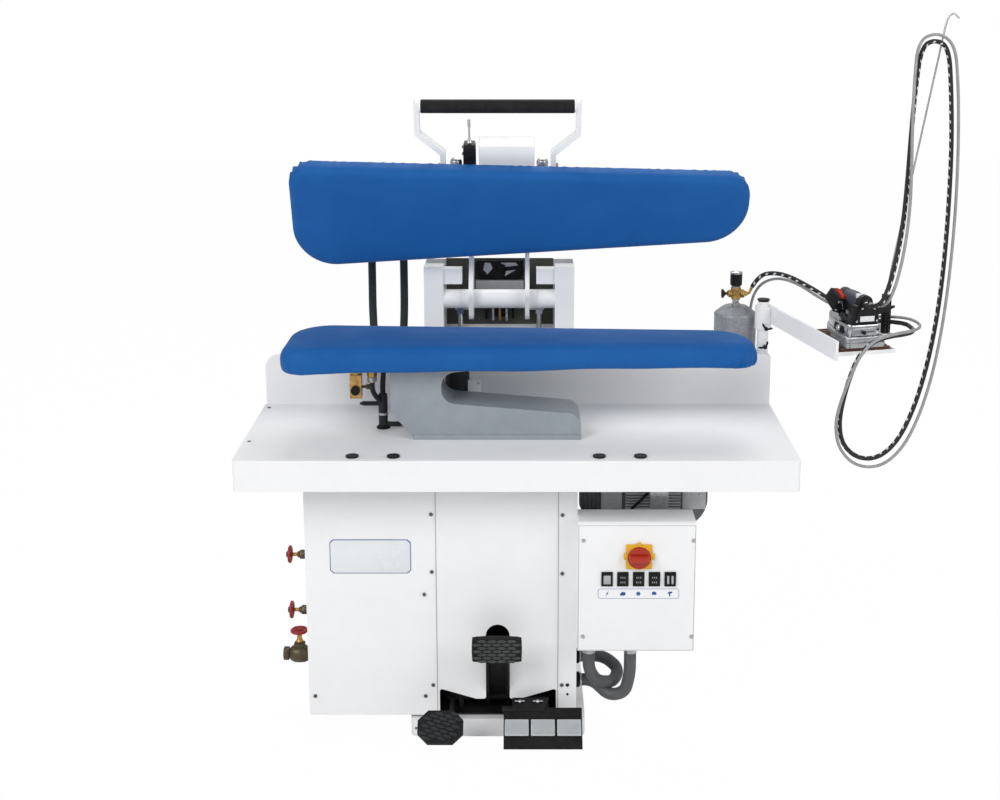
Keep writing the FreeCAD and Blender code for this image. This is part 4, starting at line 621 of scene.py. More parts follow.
@dataclass
class Studio:
    """Camera at the photograph's viewing angle, a pale floor and soft light.

    Attributes:
        centre: Point of the object that the lamps are aimed at, in metres.
        place: Place of the camera, in metres.
        lens: Focal length in millimetres.
        pitch: Tilt of the camera below level, in degrees.
        lens_shift: Shift of the lens, across and up.
        glow: Share of plain white in what the camera sees of the floor.
        fill: Strength of the world's light on the object.
        lamps: Place, size in metres, power in watts of each soft lamp.
    """

    centre: Point = (0.1, -0.15, 0.93)
    place: Point = (0.072, -3.844, 1.963)
    lens: float = 52.93
    pitch: float = 11.5
    lens_shift: tuple[float, float] = (-0.0254, -0.1268)
    glow: float = 0.985
    fill: float = 0.42
    lamps: Sequence[tuple[Point, float, float]] = (((-3.6, -4.6, 4.6), 3.6, 215.0), ((4.2, -3.4, 3.4), 3.0, 105.0),
                                                   ((0.4, 2.8, 5.0), 3.4, 110.0))

    def build(self) -> None:
        """Set up the camera, the floor, the lamps and the world."""
        bpy.context.scene.view_settings.view_transform = "Standard"
        self._camera()
        self._floor()
        self._light()

    def _camera(self) -> None:
        """A camera that looks down on the table from the front."""
        data = bpy.data.cameras.new("photo_camera")
        data.lens = self.lens
        data.sensor_width = 36
        data.shift_x, data.shift_y = self.lens_shift
        data.clip_end = 60
        camera = bpy.data.objects.new("photo_camera", data)
        camera.location = self.place
        camera.rotation_euler = (math.radians(90 - self.pitch), 0, 0)
        bpy.context.collection.objects.link(camera)
        bpy.context.scene.camera = camera

    def _floor(self) -> None:
        """A wide pale floor that stays near white and keeps the shadow."""
        bpy.ops.object.select_all(action="DESELECT")
        bpy.ops.mesh.primitive_plane_add(size=24, location=(0, 0, 0))
        floor = bpy.context.object
        floor.name = "floor"
        material = bpy.data.materials.new("pale_floor")
        material.use_nodes = True
        tree = material.node_tree
        shader = tree.nodes["Principled BSDF"]
        feed(tree, shader, {"Base Color": (0.86, 0.86, 0.86, 1), "Roughness": 0.8})
        white = add_node(tree, "Emission", {"Color": (1, 1, 1, 1)})
        path = add_node(tree, "LightPath", {})
        share = add_node(tree, "Math", {0: path.outputs["Is Camera Ray"], 1: self.glow}, operation="MULTIPLY")
        mix = add_node(tree, "MixShader", {"Fac": share.outputs["Value"], 1: shader.outputs["BSDF"],
                                           2: white.outputs["Emission"]})
        feed(tree, tree.nodes["Material Output"], {"Surface": mix.outputs["Shader"]})
        floor.data.materials.append(material)

    def _light(self) -> None:
        """Large soft lamps and an even world that is white to the camera."""
        for number, (place, size, power) in enumerate(self.lamps):
            data = bpy.data.lights.new(f"soft_lamp_{number}", "AREA")
            data.size = size
            data.energy = power
            lamp = bpy.data.objects.new(data.name, data)
            lamp.location = place
            lamp.rotation_euler = (Vector(self.centre) - Vector(place)).to_track_quat("-Z", "Y").to_euler()
            bpy.context.collection.objects.link(lamp)
        world = bpy.data.worlds.new("studio")
        world.use_nodes = True
        bpy.context.scene.world = world
        tree = world.node_tree
        rays = add_node(tree, "LightPath", {}).outputs
        seen = add_node(tree, "Math", {0: rays["Is Camera Ray"], 1: rays["Is Transmission Ray"]}, operation="MAXIMUM")
        strength = add_node(tree, "MapRange", {"Value": seen.outputs["Value"], "To Min": self.fill, "To Max": 1.0})
        feed(tree, tree.nodes["Background"], {"Color": (1, 1, 1, 1), "Strength": strength.outputs["Result"]})


CAD_FINISHES: dict[Finish, str] = {
    WHITE_COAT: "base_frame left_casing centre_panel right_side_panel worktable upstand rear_posts head_arms "
                "head_handle head_cover control_box stand_post stand_arm pivot_shaft",
    BLACK_PLASTIC: "table_plugs limit_switch switch_bezels rocker_1 rocker_2 rocker_3 rocker_4 throttle_knob",
    BLACK_COAT: "strut_cylinders pedal_bracket press_pedal vacuum_pedal stand_spring",
    BLACK_RUBBER: "press_pedal_pad release_pedal buck_pad head_pad",
    DARK_HOSE: "buck_hoses head_hoses iron_leads_feed iron_leads_loop",
    CAST_METAL: "buck_chest head_shoe iron_sole",
    ZINC: "whisker strut_rods cable_glands stand_rod",
    BRASS: "valve_bodies separator_fittings buck_fittings",
    RED_ENAMEL: "valve_wheel_upper valve_wheel_lower globe_wheel",
    RED_PLASTIC: "main_knob iron_trigger",
    PEDESTAL_PAINT: "pedestal", JACKET: "boiler_vessel", PALE_RUBBER: "vacuum_pads", YELLOW_PLASTIC: "switch_plate",
    GREY_CONDUIT: "conduits", BLOWER_GREY: "blower_housing", FOIL: "separator_tank", BROWN_SILICONE: "iron_rest",
    CHROME: "iron_body", GRIP_PLASTIC: "iron_grip",
}


def finish_nodes(shop: PaintShop) -> None:
    """Give every node its finish.

    Args:
        shop: Where finishes come from.
    """
    for finish, names in CAD_FINISHES.items():
        for name in names.split():
            materials = NODES[name].data.materials
            materials.clear()
            materials.append(shop.get(finish))
        LOG.info("%s on %s", finish.name, names)


def make_cloth(shop: PaintShop) -> None:
    """Satin blue cover cloth: a fine weave, a soft shift of tone and a bloom of sheen.

    Args:
        shop: Where shared effects come from and the material is kept.
    """
    tree, shader, coordinates = shop.start(BLUE_CLOTH.name)
    mask = shop.place(tree, shop.effects.mottling, BLUE_CLOTH.mottle, coordinates.outputs["Object"])
    shop.two_tone(tree, shader, mask, BLUE_CLOTH)
    weave = shop.place(tree, shop.effects.weave, BLUE_CLOTH.grain, coordinates.outputs["UV"])
    shop.bump(tree, shader, weave, BLUE_CLOTH.relief)
    feed(tree, shader, {"Specular IOR Level": BLUE_CLOTH.shine, "Sheen Weight": 0.12, "Sheen Roughness": 0.4,
                        "Sheen Tint": (0.25, 0.5, 0.9, 1)})


def as_object(name: str, mesh: bmesh.types.BMesh) -> Object:
    """Turn a finished mesh into an object of the scene.

    Args:
        name: Name of the piece.
        mesh: Its mesh, which is freed.

    Returns:
        The object.
    """
    data = bpy.data.meshes.new(name)
    mesh.to_mesh(data)
    mesh.free()
    obj = bpy.data.objects.new(name, data)
    bpy.context.collection.objects.link(obj)
    return obj


@dataclass
class BoardCover:
    """A padded cover drawn over a pressing board and gathered by its elastic on the far side.

    The section runs from the middle of the pressing face out to the edge, round it, down the side
    and in under the board's rim, where the cloth is pleated.

    Attributes:
        name: Name of the piece.
        left: Wide end in millimetres.
        right: Nose in millimetres.
        axis_y: Middle line in millimetres.
        wide: Width at the wide end.
        narrow: Width at the nose.
        corners: Radii at the wide end's front, the nose's front, the nose's back and the wide end's back.
        skew: How far the nose is set over to the front.
        upturned: Whether the face looks down, so that its own plane is drawn front to back.
        section: Inset from the outline, height over the pressing face's plane, and share of the pleats.
            An inset below 0 is a share of the way from the rim to the middle line.
        seed: Start of the pleats' pattern.
        around: Points round the edge.
        rim: Inset at which the face turns into the rounded edge.
        gather: Depth of the pleats on a straight side, and what an end adds.
        sag: How far the hem hangs at the wide end.
        full_bend: Turn of the edge between near points, in radians, that counts as an end.
    """

    name: str
    left: float = -549
    right: float = 664
    axis_y: float = -148
    wide: float = 308
    narrow: float = 192
    corners: tuple[float, float, float, float] = (55, 62, 118, 112)
    skew: float = 8
    upturned: bool = False
    section: Sequence[tuple[float, float, float]] = ()
    seed: int = 3
    around: int = 1200
    rim: float = 34
    gather: tuple[float, float] = (1.5, 5.0)
    sag: float = 0
    full_bend: float = 0.28

    def outline(self) -> list[tuple[Vector, float]]:
        """Points round the plan at even steps, each with its distance along the edge.

        Returns:
            Points in millimetres and distances.
        """
        half_w, half_n = self.wide / 2, self.narrow / 2
        plan = [(self.left, -half_w), (self.right, -half_n - self.skew), (self.right, half_n - self.skew),
                (self.left, half_w)]
        corners = [(x, y, radius) for (x, y), radius in zip(plan, self.corners)]
        if self.upturned:
            corners = [(x, -y, radius) for x, y, radius in reversed(corners)]
        dense: list[Vector] = []
        for i, (x, y, radius) in enumerate(corners):
            here = Vector((x, y))
            before = (Vector(corners[i - 1][:2]) - here).normalized()
            after = (Vector(corners[(i + 1) % 4][:2]) - here).normalized()
            half = before.angle(after) / 2
            middle = here + (before + after).normalized() * (radius / math.sin(half))
            start = here + before * (radius / math.tan(half)) - middle
            sweep = math.pi - 2 * half
            dense += [middle + Matrix.Rotation(sweep * k / CORNER_STEPS, 2) @ start for k in range(CORNER_STEPS + 1)]
        lengths = [0.0]
        for a, b in zip(dense, dense[1:] + dense[:1]):
            lengths.append(lengths[-1] + (b - a).length)
        total = lengths[-1]
        points = []
        k = 0
        for i in range(self.around):
            target = total * i / self.around
            while lengths[k + 1] < target:
                k += 1
            a, b = dense[k], dense[(k + 1) % len(dense)]
            share = (target - lengths[k]) / max(lengths[k + 1] - lengths[k], 1e-9)
            points.append((a.lerp(b, share), target))
        return points

    def pleat(self, along: float, bend: float) -> float:
        """Height of the gathered folds at a distance along the edge.

        Args:
            along: Distance along the edge in millimetres.
            bend: How much the edge turns there, from 0 on a straight side to 1 round an end.

        Returns:
            Height from -1 to 1, sharper at the folds' crests.
        """
        pitch = 30 - 12 * bend
        wander = 7 * math.sin(along / 83 + self.seed) + 7.5 * math.sin(along / 27 + 2 * self.seed)
        phase = (along + wander) / pitch * math.pi
        fold = 1 - abs(math.sin(phase)) ** 0.7
        depth = 0.55 + 0.25 * math.sin(along / 57 + 1.7 * self.seed) + 0.32 * math.sin(along / 19 + 3.1 * self.seed)
        crease = 0.2 * bend * math.sin(2.3 * phase + self.seed)
        return (fold * 2 - 0.8) * depth + crease

    def hang(self, x: float, along: float) -> float:
        """How far the hem hangs below its level.

        Args:
            x: Place along the board in millimetres.
            along: Distance along the edge in millimetres.

        Returns:
            Millimetres.
        """
        if not self.sag:
            return 0.0
        wide_end = min(max((-120 - x) / 300, 0.0), 1.0)
        return self.sag * wide_end + 1.8 * math.sin(along / 118 + self.seed) + 1.1 * math.sin(along / 47)

    def build(self, bench: Bench, place: Matrix, body: Body, node: str) -> None:
        """Make the cover.

        Args:
            bench: Where pieces are modelled.
            place: From the board's own plane, face up, to where the cover goes.
            body: The body that it rides on.
            node: The node that it stands for.
        """
        ring = self.outline()
        first, last = self.left + self.wide / 2, self.right - self.narrow / 2
        slope = (self.skew if self.upturned else -self.skew) / (self.right - self.left)
        mesh = bmesh.new()
        uv_layer = mesh.loops.layers.uv.new("cloth")
        rows: list[list[bmesh.types.BMVert]] = []
        spots: dict[bmesh.types.BMVert, tuple[float, float]] = {}
        count = len(ring)
        for inset, height, share in self.section:
            row = []
            for i, (point, along) in enumerate(ring):
                level = min(max(point.x, first), last)
                spine = Vector((level, slope * (level - self.left)))
                inward = spine - point
                reach = inward.length
                sweep = (ring[(i + 8) % count][0] - point).angle(point - ring[i - 8][0], 0.0)
                bend = min(sweep / self.full_bend, 1.0)
                fold = self.pleat(along, bend) * share * (self.gather[0] + self.gather[1] * bend)
                step = inset - fold if inset >= 0 else self.rim + (0.92 * reach - self.rim) * -inset
                flat = point + inward.normalized() * step
                drop = height + 0.35 * fold * share - self.hang(point.x, along) * share
                vert = mesh.verts.new(mm(flat.x, flat.y, drop))
                spots[vert] = (flat.x * MM, flat.y * MM + (height if share > 0 else 0) * MM)
                row.append(vert)
            rows.append(row)
        for upper, lower in zip(rows, rows[1:]):
            for i in range(count):
                j = (i + 1) % count
                mesh.faces.new((upper[i], lower[i], lower[j], upper[j]))
        mesh.faces.new(rows[0])
        for face in mesh.faces:
            face.smooth = True
            for loop in face.loops:
                loop[uv_layer].uv = spots[loop.vert]
        bmesh.ops.recalc_face_normals(mesh, faces=mesh.faces)
        obj = bench.settle(as_object(self.name, mesh), place)
        bench.dress(obj, BLUE_CLOTH, body, replaces=[node])


def face_rows(crown: float) -> list[tuple[float, float, float]]:
    """Section points across a board's pressing face, from its middle to near the edge.

    Args:
        crown: How far the face falls towards the edge, in millimetres.

    Returns:
        Insets, heights and no pleats.
    """
    rows = []
    for k in range(FACE_ROWS):
        share = 1 - k / FACE_ROWS
        rows.append((-share, -crown * (1 - share) ** 2, 0.0))
    return rows


@dataclass
class Boards:
    """The two padded pressing faces."""

    buck_side: Sequence[tuple[float, float, float]] = ((34, -2.2, 0), (26, -3.6, 0), (19, -6.2, 0), (13, -9.8, 0),
                                                       (8, -14.4, 0.02), (4.2, -20, 0.06), (1.6, -26, 0.12),
                                                       (0.2, -32, 0.22), (0, -38, 0.36), (0.2, -43.5, 0.52),
                                                       (0.8, -49, 0.7), (2, -54, 0.88), (4, -58.6, 1.0),
                                                       (7.4, -61.8, 1.0), (13, -63, 0.9), (20, -62, 0.7))
    head_side: Sequence[tuple[float, float, float]] = ((18, -2.2, 0), (12, -4.2, 0), (7.4, -7.4, 0), (3.8, -11.6, 0),
                                                       (1.4, -16.6, 0.02), (0.2, -22, 0.08), (0, -28, 0.18),
                                                       (0, -34, 0.32), (0.2, -40, 0.48), (0.8, -45.6, 0.64),
                                                       (1.8, -50.6, 0.8), (3.4, -55, 0.92), (5.8, -58.6, 1.0),
                                                       (9, -61.4, 1.0), (13, -63, 0.8), (18, -63.4, 0.4))

    def build(self, bench: Bench) -> None:
        """Make the buck's cover and the head's.

        Args:
            bench: Where pieces are modelled.
        """
        buck = BoardCover("buck_cover", section=face_rows(1.6) + list(self.buck_side), seed=3, sag=6,
                          corners=(64, 66, 118, 112), gather=(1.8, 4.6))
        up = shift(0, buck.axis_y, 1048)
        buck.build(bench, up, Body.FRAME, "buck_pad")
        head = BoardCover("head_cover_cloth", section=face_rows(1.6) + list(self.head_side), seed=7, skew=26,
                          upturned=True, rim=18)
        down = shift(0, head.axis_y, 1048.6) @ Matrix.Diagonal((1, -1, -1, 1))
        head.build(bench, OPEN_HEAD @ down, Body.HEAD, "head_pad")


def smooth_line(points: Sequence[Vector]) -> list[Vector]:
    """The smooth line of a route: a NURBS spline with the route's points as its control points.

    Args:
        points: The route's points in metres.

    Returns:
        Points along the spline.
    """
    curve = bpy.data.curves.new("route", "CURVE")
    curve.dimensions = "3D"
    spline = curve.splines.new("NURBS")
    spline.points.add(len(points) - 1)
    for target, point in zip(spline.points, points):
        target.co = (*point, 1)
    spline.order_u = 3
    spline.use_endpoint_u = True
    spline.resolution_u = 14
    holder = bpy.data.objects.new("route", curve)
    bpy.context.collection.objects.link(holder)
    bpy.context.view_layer.update()
    mesh = bpy.data.meshes.new_from_object(holder)
    line = [vertex.co.copy() for vertex in mesh.vertices]
    bpy.data.objects.remove(holder)
    bpy.data.curves.remove(curve)
    bpy.data.meshes.remove(mesh)
    return line


def along_line(line: Sequence[Vector]) -> list[float]:
    """Distance along a line at each of its points."""
    total = [0.0]
    for a, b in zip(line, line[1:]):
        total.append(total[-1] + (b - a).length)
    return total


def tube_mesh(name: str, line: Sequence[Vector], radius: Callable[[float], float], sides: int = 14) -> Object:
    """A closed tube along a line with a map that follows it: round it across, metres along it up.

    Args:
        name: Name of the piece.
        line: Points along the middle.
        radius: Radius in metres at a distance along the line.
        sides: Faces round the tube.

    Returns:
        The object.
    """
    mesh = bmesh.new()
    layer = mesh.loops.layers.uv.new("along")
    total = along_line(line)
    normal = (line[1] - line[0]).orthogonal().normalized()
    rows = []
    for k, point in enumerate(line):
        ahead = line[min(k + 1, len(line) - 1)] - line[max(k - 1, 0)]
        ahead.normalize()
        normal = (normal - ahead * normal.dot(ahead)).normalized()
        side = ahead.cross(normal)
        reach = radius(total[k])
        row = []
        for i in range(sides):
            angle = 2 * math.pi * i / sides
            row.append(mesh.verts.new(point + (normal * math.cos(angle) + side * math.sin(angle)) * reach))
        rows.append(row)
    for k, (lower, upper) in enumerate(zip(rows, rows[1:])):
        for i in range(sides):
            j = (i + 1) % sides
            face = mesh.faces.new((lower[i], lower[j], upper[j], upper[i]))
            face.smooth = True
            spots = ((i, k), (i + 1, k), (i + 1, k + 1), (i, k + 1))
            for loop, (u, v) in zip(face.loops, spots):
                loop[layer].uv = (u / sides, total[v])
    mesh.faces.new(list(reversed(rows[0])))
    mesh.faces.new(rows[-1])
    return as_object(name, mesh)


def band_mask(tree: NodeTree, along: Socket, rate: float, other: Socket, lean: float, share: float) -> Socket:
    """A mask of bands along one direction that may lean with the other.

    Args:
        tree: The material's node tree.
        along: Distance that the bands repeat over.
        rate: Bands to the unit.
        other: Distance that the bands lean with.
        lean: Bands that they move by for a unit of it.
        share: Share of the pitch that a band fills.

    Returns:
        The mask.
    """
    scaled = add_node(tree, "Math", {0: along, 1: rate}, operation="MULTIPLY").outputs["Value"]
    moved = add_node(tree, "Math", {0: other, 1: lean, 2: scaled}, operation="MULTIPLY_ADD").outputs["Value"]
    wrapped = add_node(tree, "Math", {0: moved}, operation="FRACT").outputs["Value"]
    return add_node(tree, "Math", {0: wrapped, 1: share}, operation="LESS_THAN").outputs["Value"]


def make_hose(shop: PaintShop) -> None:
    """Braided black steam hose with pale flecks woven in at an even pitch.

    Args:
        shop: Where shared effects come from and the material is kept.
    """
    tree, shader, coordinates = shop.start(FLECKED_HOSE.name)
    around = coordinates.outputs["UV"]
    split = add_node(tree, "SeparateXYZ", {"Vector": around}).outputs
    bands = band_mask(tree, split["Y"], 1 / FLECK_PITCH, split["X"], 1.0, 0.30)
    spots = band_mask(tree, split["X"], 2.0, split["Y"], 0.0, 0.34)
    flecks = add_node(tree, "Math", {0: bands, 1: spots}, operation="MULTIPLY").outputs["Value"]
    shop.two_tone(tree, shader, flecks, FLECKED_HOSE)
    braid = add_node(tree, "Mapping", {"Vector": around, "Scale": (0.038, 1, 1), "Rotation": (0, 0, math.radians(45))})
    weave = shop.place(tree, shop.effects.weave, FLECKED_HOSE.grain, braid.outputs["Vector"])
    shop.bump(tree, shader, weave, FLECKED_HOSE.relief)


STAND_FOOT = (735, 150, 1020)
HOSE_FEED = [(-25, 55, 80), (-6, 55, 112.9), (28, 32, 126), (68, 4, 122), (112, -38, 104), (170, -74, 72),
             (231, -104, 34), (279, -124, 24), (313, -142, 26)]
FLEX_FEED = [(-24, 107, -178), (-24, 107, -118), (-21, 104, -40), (-20, 95, 36), (2, 72, 88), (44, 34, 112),
             (93, -12, 103), (149, -52, 68), (209, -76, 42), (265, -100, 32), (305, -124, 36), (327, -146, 40)]
HOSE_LOOP = [(313, -142, 26), (351.8, -162.6, 28.3), (359, -226, 27), (338, -300, 36), (300, -365, 46),
             (250, -410, 52), (200, -432, 42), (166, -440, 4), (149, -436, -50), (139, -419, -112), (137, -393, -178),
             (153, -365, -245), (200, -342, -292), (260, -322, -298), (311, -304, -260), (350, -286, -190),
             (380, -268, -105), (403, -252, -10), (421, -236, 100), (433, -220, 220), (441, -202, 360),
             (443, -190, 510), (436, -182, 650), (425, -178, 758), (406.8, -179, 768.5)]
HOSE_DROP = [(406.8, -179, 768.5), (388.6, -180, 779), (350.5, -190, 761), (331, -228, 653), (313, -278, 540),
             (295, -336, 420), (273, -394, 310), (227, -485, 196), (208, -454.5, 129), (189.4, -376.5, 129)]
FLEX_LOOP = [(327, -146, 40), (355, -174, 45.1), (375, -226, 42), (355, -306, 48), (314, -380, 58), (259, -428, 63),
             (202, -450, 52), (164, -457, 8), (144, -452, -52), (129, -433, -116), (124, -406, -182),
             (143, -378, -255), (195, -354, -310), (265, -334, -318), (323, -316, -275), (365, -298, -198),
             (396, -280, -108), (418, -264, -12), (435, -248, 100), (447, -232, 216), (455, -216, 332),
             (458, -204, 450), (456, -196, 566), (450, -190, 672), (438, -188, 766), (415, -189, 782)]
FLEX_DROP = [(415, -189, 782), (392, -190, 798), (339, -200, 778), (325, -238, 680), (315, -278, 584),
             (306, -326, 480), (296, -372, 378), (275, -424, 282), (243, -481, 196), (224.7, -450.5, 129),
             (206, -372.5, 129)]


@dataclass
class Cord:
    """One stretch of a free lead or hose.

    Attributes:
        name: Name of the piece.
        line: Points along its middle, in metres.
        diameter: Diameter in millimetres.
        finish: Its finish.
        bodies: The body that it rides on; a stretch with a bend is left on no body, and the two given are those it
            would bend between.
        node: The node that it stands for.
        bend: Where the bending would start and end, in millimetres; only whether it is given is read.
        stiffness: How stiff it is; not used.
        sides: Faces round it.
    """

    name: str
    line: list[Vector]
    diameter: float
    finish: Finish
    bodies: tuple[Body, ...]
    node: str
    bend: Optional[tuple[Point, Point]] = None
    stiffness: str = "limp"
    sides: int = 14

    def build(self, shop: PaintShop) -> None:
        """Args:
            shop: Where finishes come from.
        """
        radius = self.diameter * MM / 2
        obj = tube_mesh(self.name, self.line, lambda _: radius, self.sides)
        obj.data.materials.append(shop.get(self.finish))
        if self.bend:
            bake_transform(obj)
        else:
            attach(obj, self.bodies[0].value)
        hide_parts(self.node)


@dataclass
class Leads:
    """The iron's steam hose and flex, from the separator round the mast to the iron."""

    feed_bend: tuple[Point, Point] = ((730, 140, 1050), (1010, 30, 1050))
    drop_bend: tuple[Point, Point] = ((1080, -60, 1740), (950, -290, 1165))

    def build(self, shop: PaintShop) -> None:
        """Make every stretch of both leads.

        Args:
            shop: Where finishes come from.
        """
        swing, still, lift = (Body.FRAME, Body.STAND), (Body.STAND,), (Body.STAND, Body.IRON)
        stretches = (("feed", HOSE_FEED, FLEX_FEED, swing, "iron_leads_feed", self.feed_bend),
                     ("loop", HOSE_LOOP, FLEX_LOOP, still, "iron_leads_loop", None),
                     ("drop", HOSE_DROP, FLEX_DROP, lift, "iron_leads_loop", self.drop_bend))
        for part, hose, flex, bodies, node, bend in stretches:
            for name, route, diameter, finish in (("steam_hose", hose, 12, FLECKED_HOSE),
                                                  ("flex", flex, 8, LIGHT_FLEX)):
                line = smooth_line([mm(*(a + b for a, b in zip(STAND_FOOT, point))) for point in route])
                Cord(f"{name}_{part}", line, diameter, finish, bodies, node, bend).build(shop)


@dataclass
class Hardware:
    """Screws and nuts, each modelled once and copied to its places.

    Attributes:
        bench: Where pieces are modelled.
        counts: How many of each piece are placed so far.
    """

    bench: Bench
    counts: dict[str, int] = field(default_factory=dict)

    def _next(self, name: str) -> str:
        """A fresh name for the next copy of a piece."""
        self.counts[name] = self.counts.get(name, 0) + 1
        return f"{name}_{self.counts[name]}"

    def screw(self, radius: float) -> Object:
        """A domed screw head with a socket, standing on the plane z = 0.

        Args:
            radius: Radius of the head in millimetres.

        Returns:
            The master, to be copied and then thrown away.
        """
        steps = [(radius, -0.6), (radius, radius * 0.16), (radius * 0.86, radius * 0.38), (radius * 0.5, radius * 0.5),
                 (radius * 0.44, radius * 0.5), (radius * 0.4, radius * 0.24)]
        return self.bench.turned("screw", steps, (0, 0, 0), edge=0, sides=24)

    def hexagon(self, radius: float, height: float, bore: float = 0.45) -> Object:
        """A hexagon nut with chamfered corners, standing on the plane z = 0.

        Args:
            radius: Half of its width across the corners in millimetres.
            height: Its height in millimetres.
            bore: Radius of the recess in its top as a share.

        Returns:
            The master, to be copied and then thrown away.
        """
        steps = [(radius, -0.5), (radius, height * 0.88), (radius * 0.9, height), (radius * bore, height),
                 (radius * bore * 0.9, height * 0.8)]
        return self.bench.turned("hexagon", steps, (0, 0, 0), edge=radius * 0.05, sides=6)

    def place(self, master: Object, spots: Sequence[tuple[Point, Axis, bool]], name: str, finish: Finish,
              body: Body = Body.FRAME, matrix: Optional[Matrix] = None) -> None:
        """Copy a master to its places, dress the copies and drop the master.

        Args:
            master: The piece, on the plane z = 0.
            spots: Place in millimetres, direction and whether it faces against it.
            name: Name of the copies.
            finish: Their finish.
            body: The body that they ride on.
            matrix: From the places' own frame to the machine's.
        """
        for at, axis, against in spots:
            stand = shift(*at) @ axis.turn(against)
            twin = self.bench.copy(master, self._next(name), stand if matrix is None else matrix @ stand)
            self.bench.dress(twin, finish, body)
        bpy.data.objects.remove(master)


@dataclass
class Assembly:
    """A group of pieces that is made in one go.

    Attributes:
        bench: Where pieces are modelled.
        hardware: Where screws come from.
    """

    bench: Bench
    hardware: Hardware

    def build(self) -> None:
        """Make every piece."""
        raise NotImplementedError


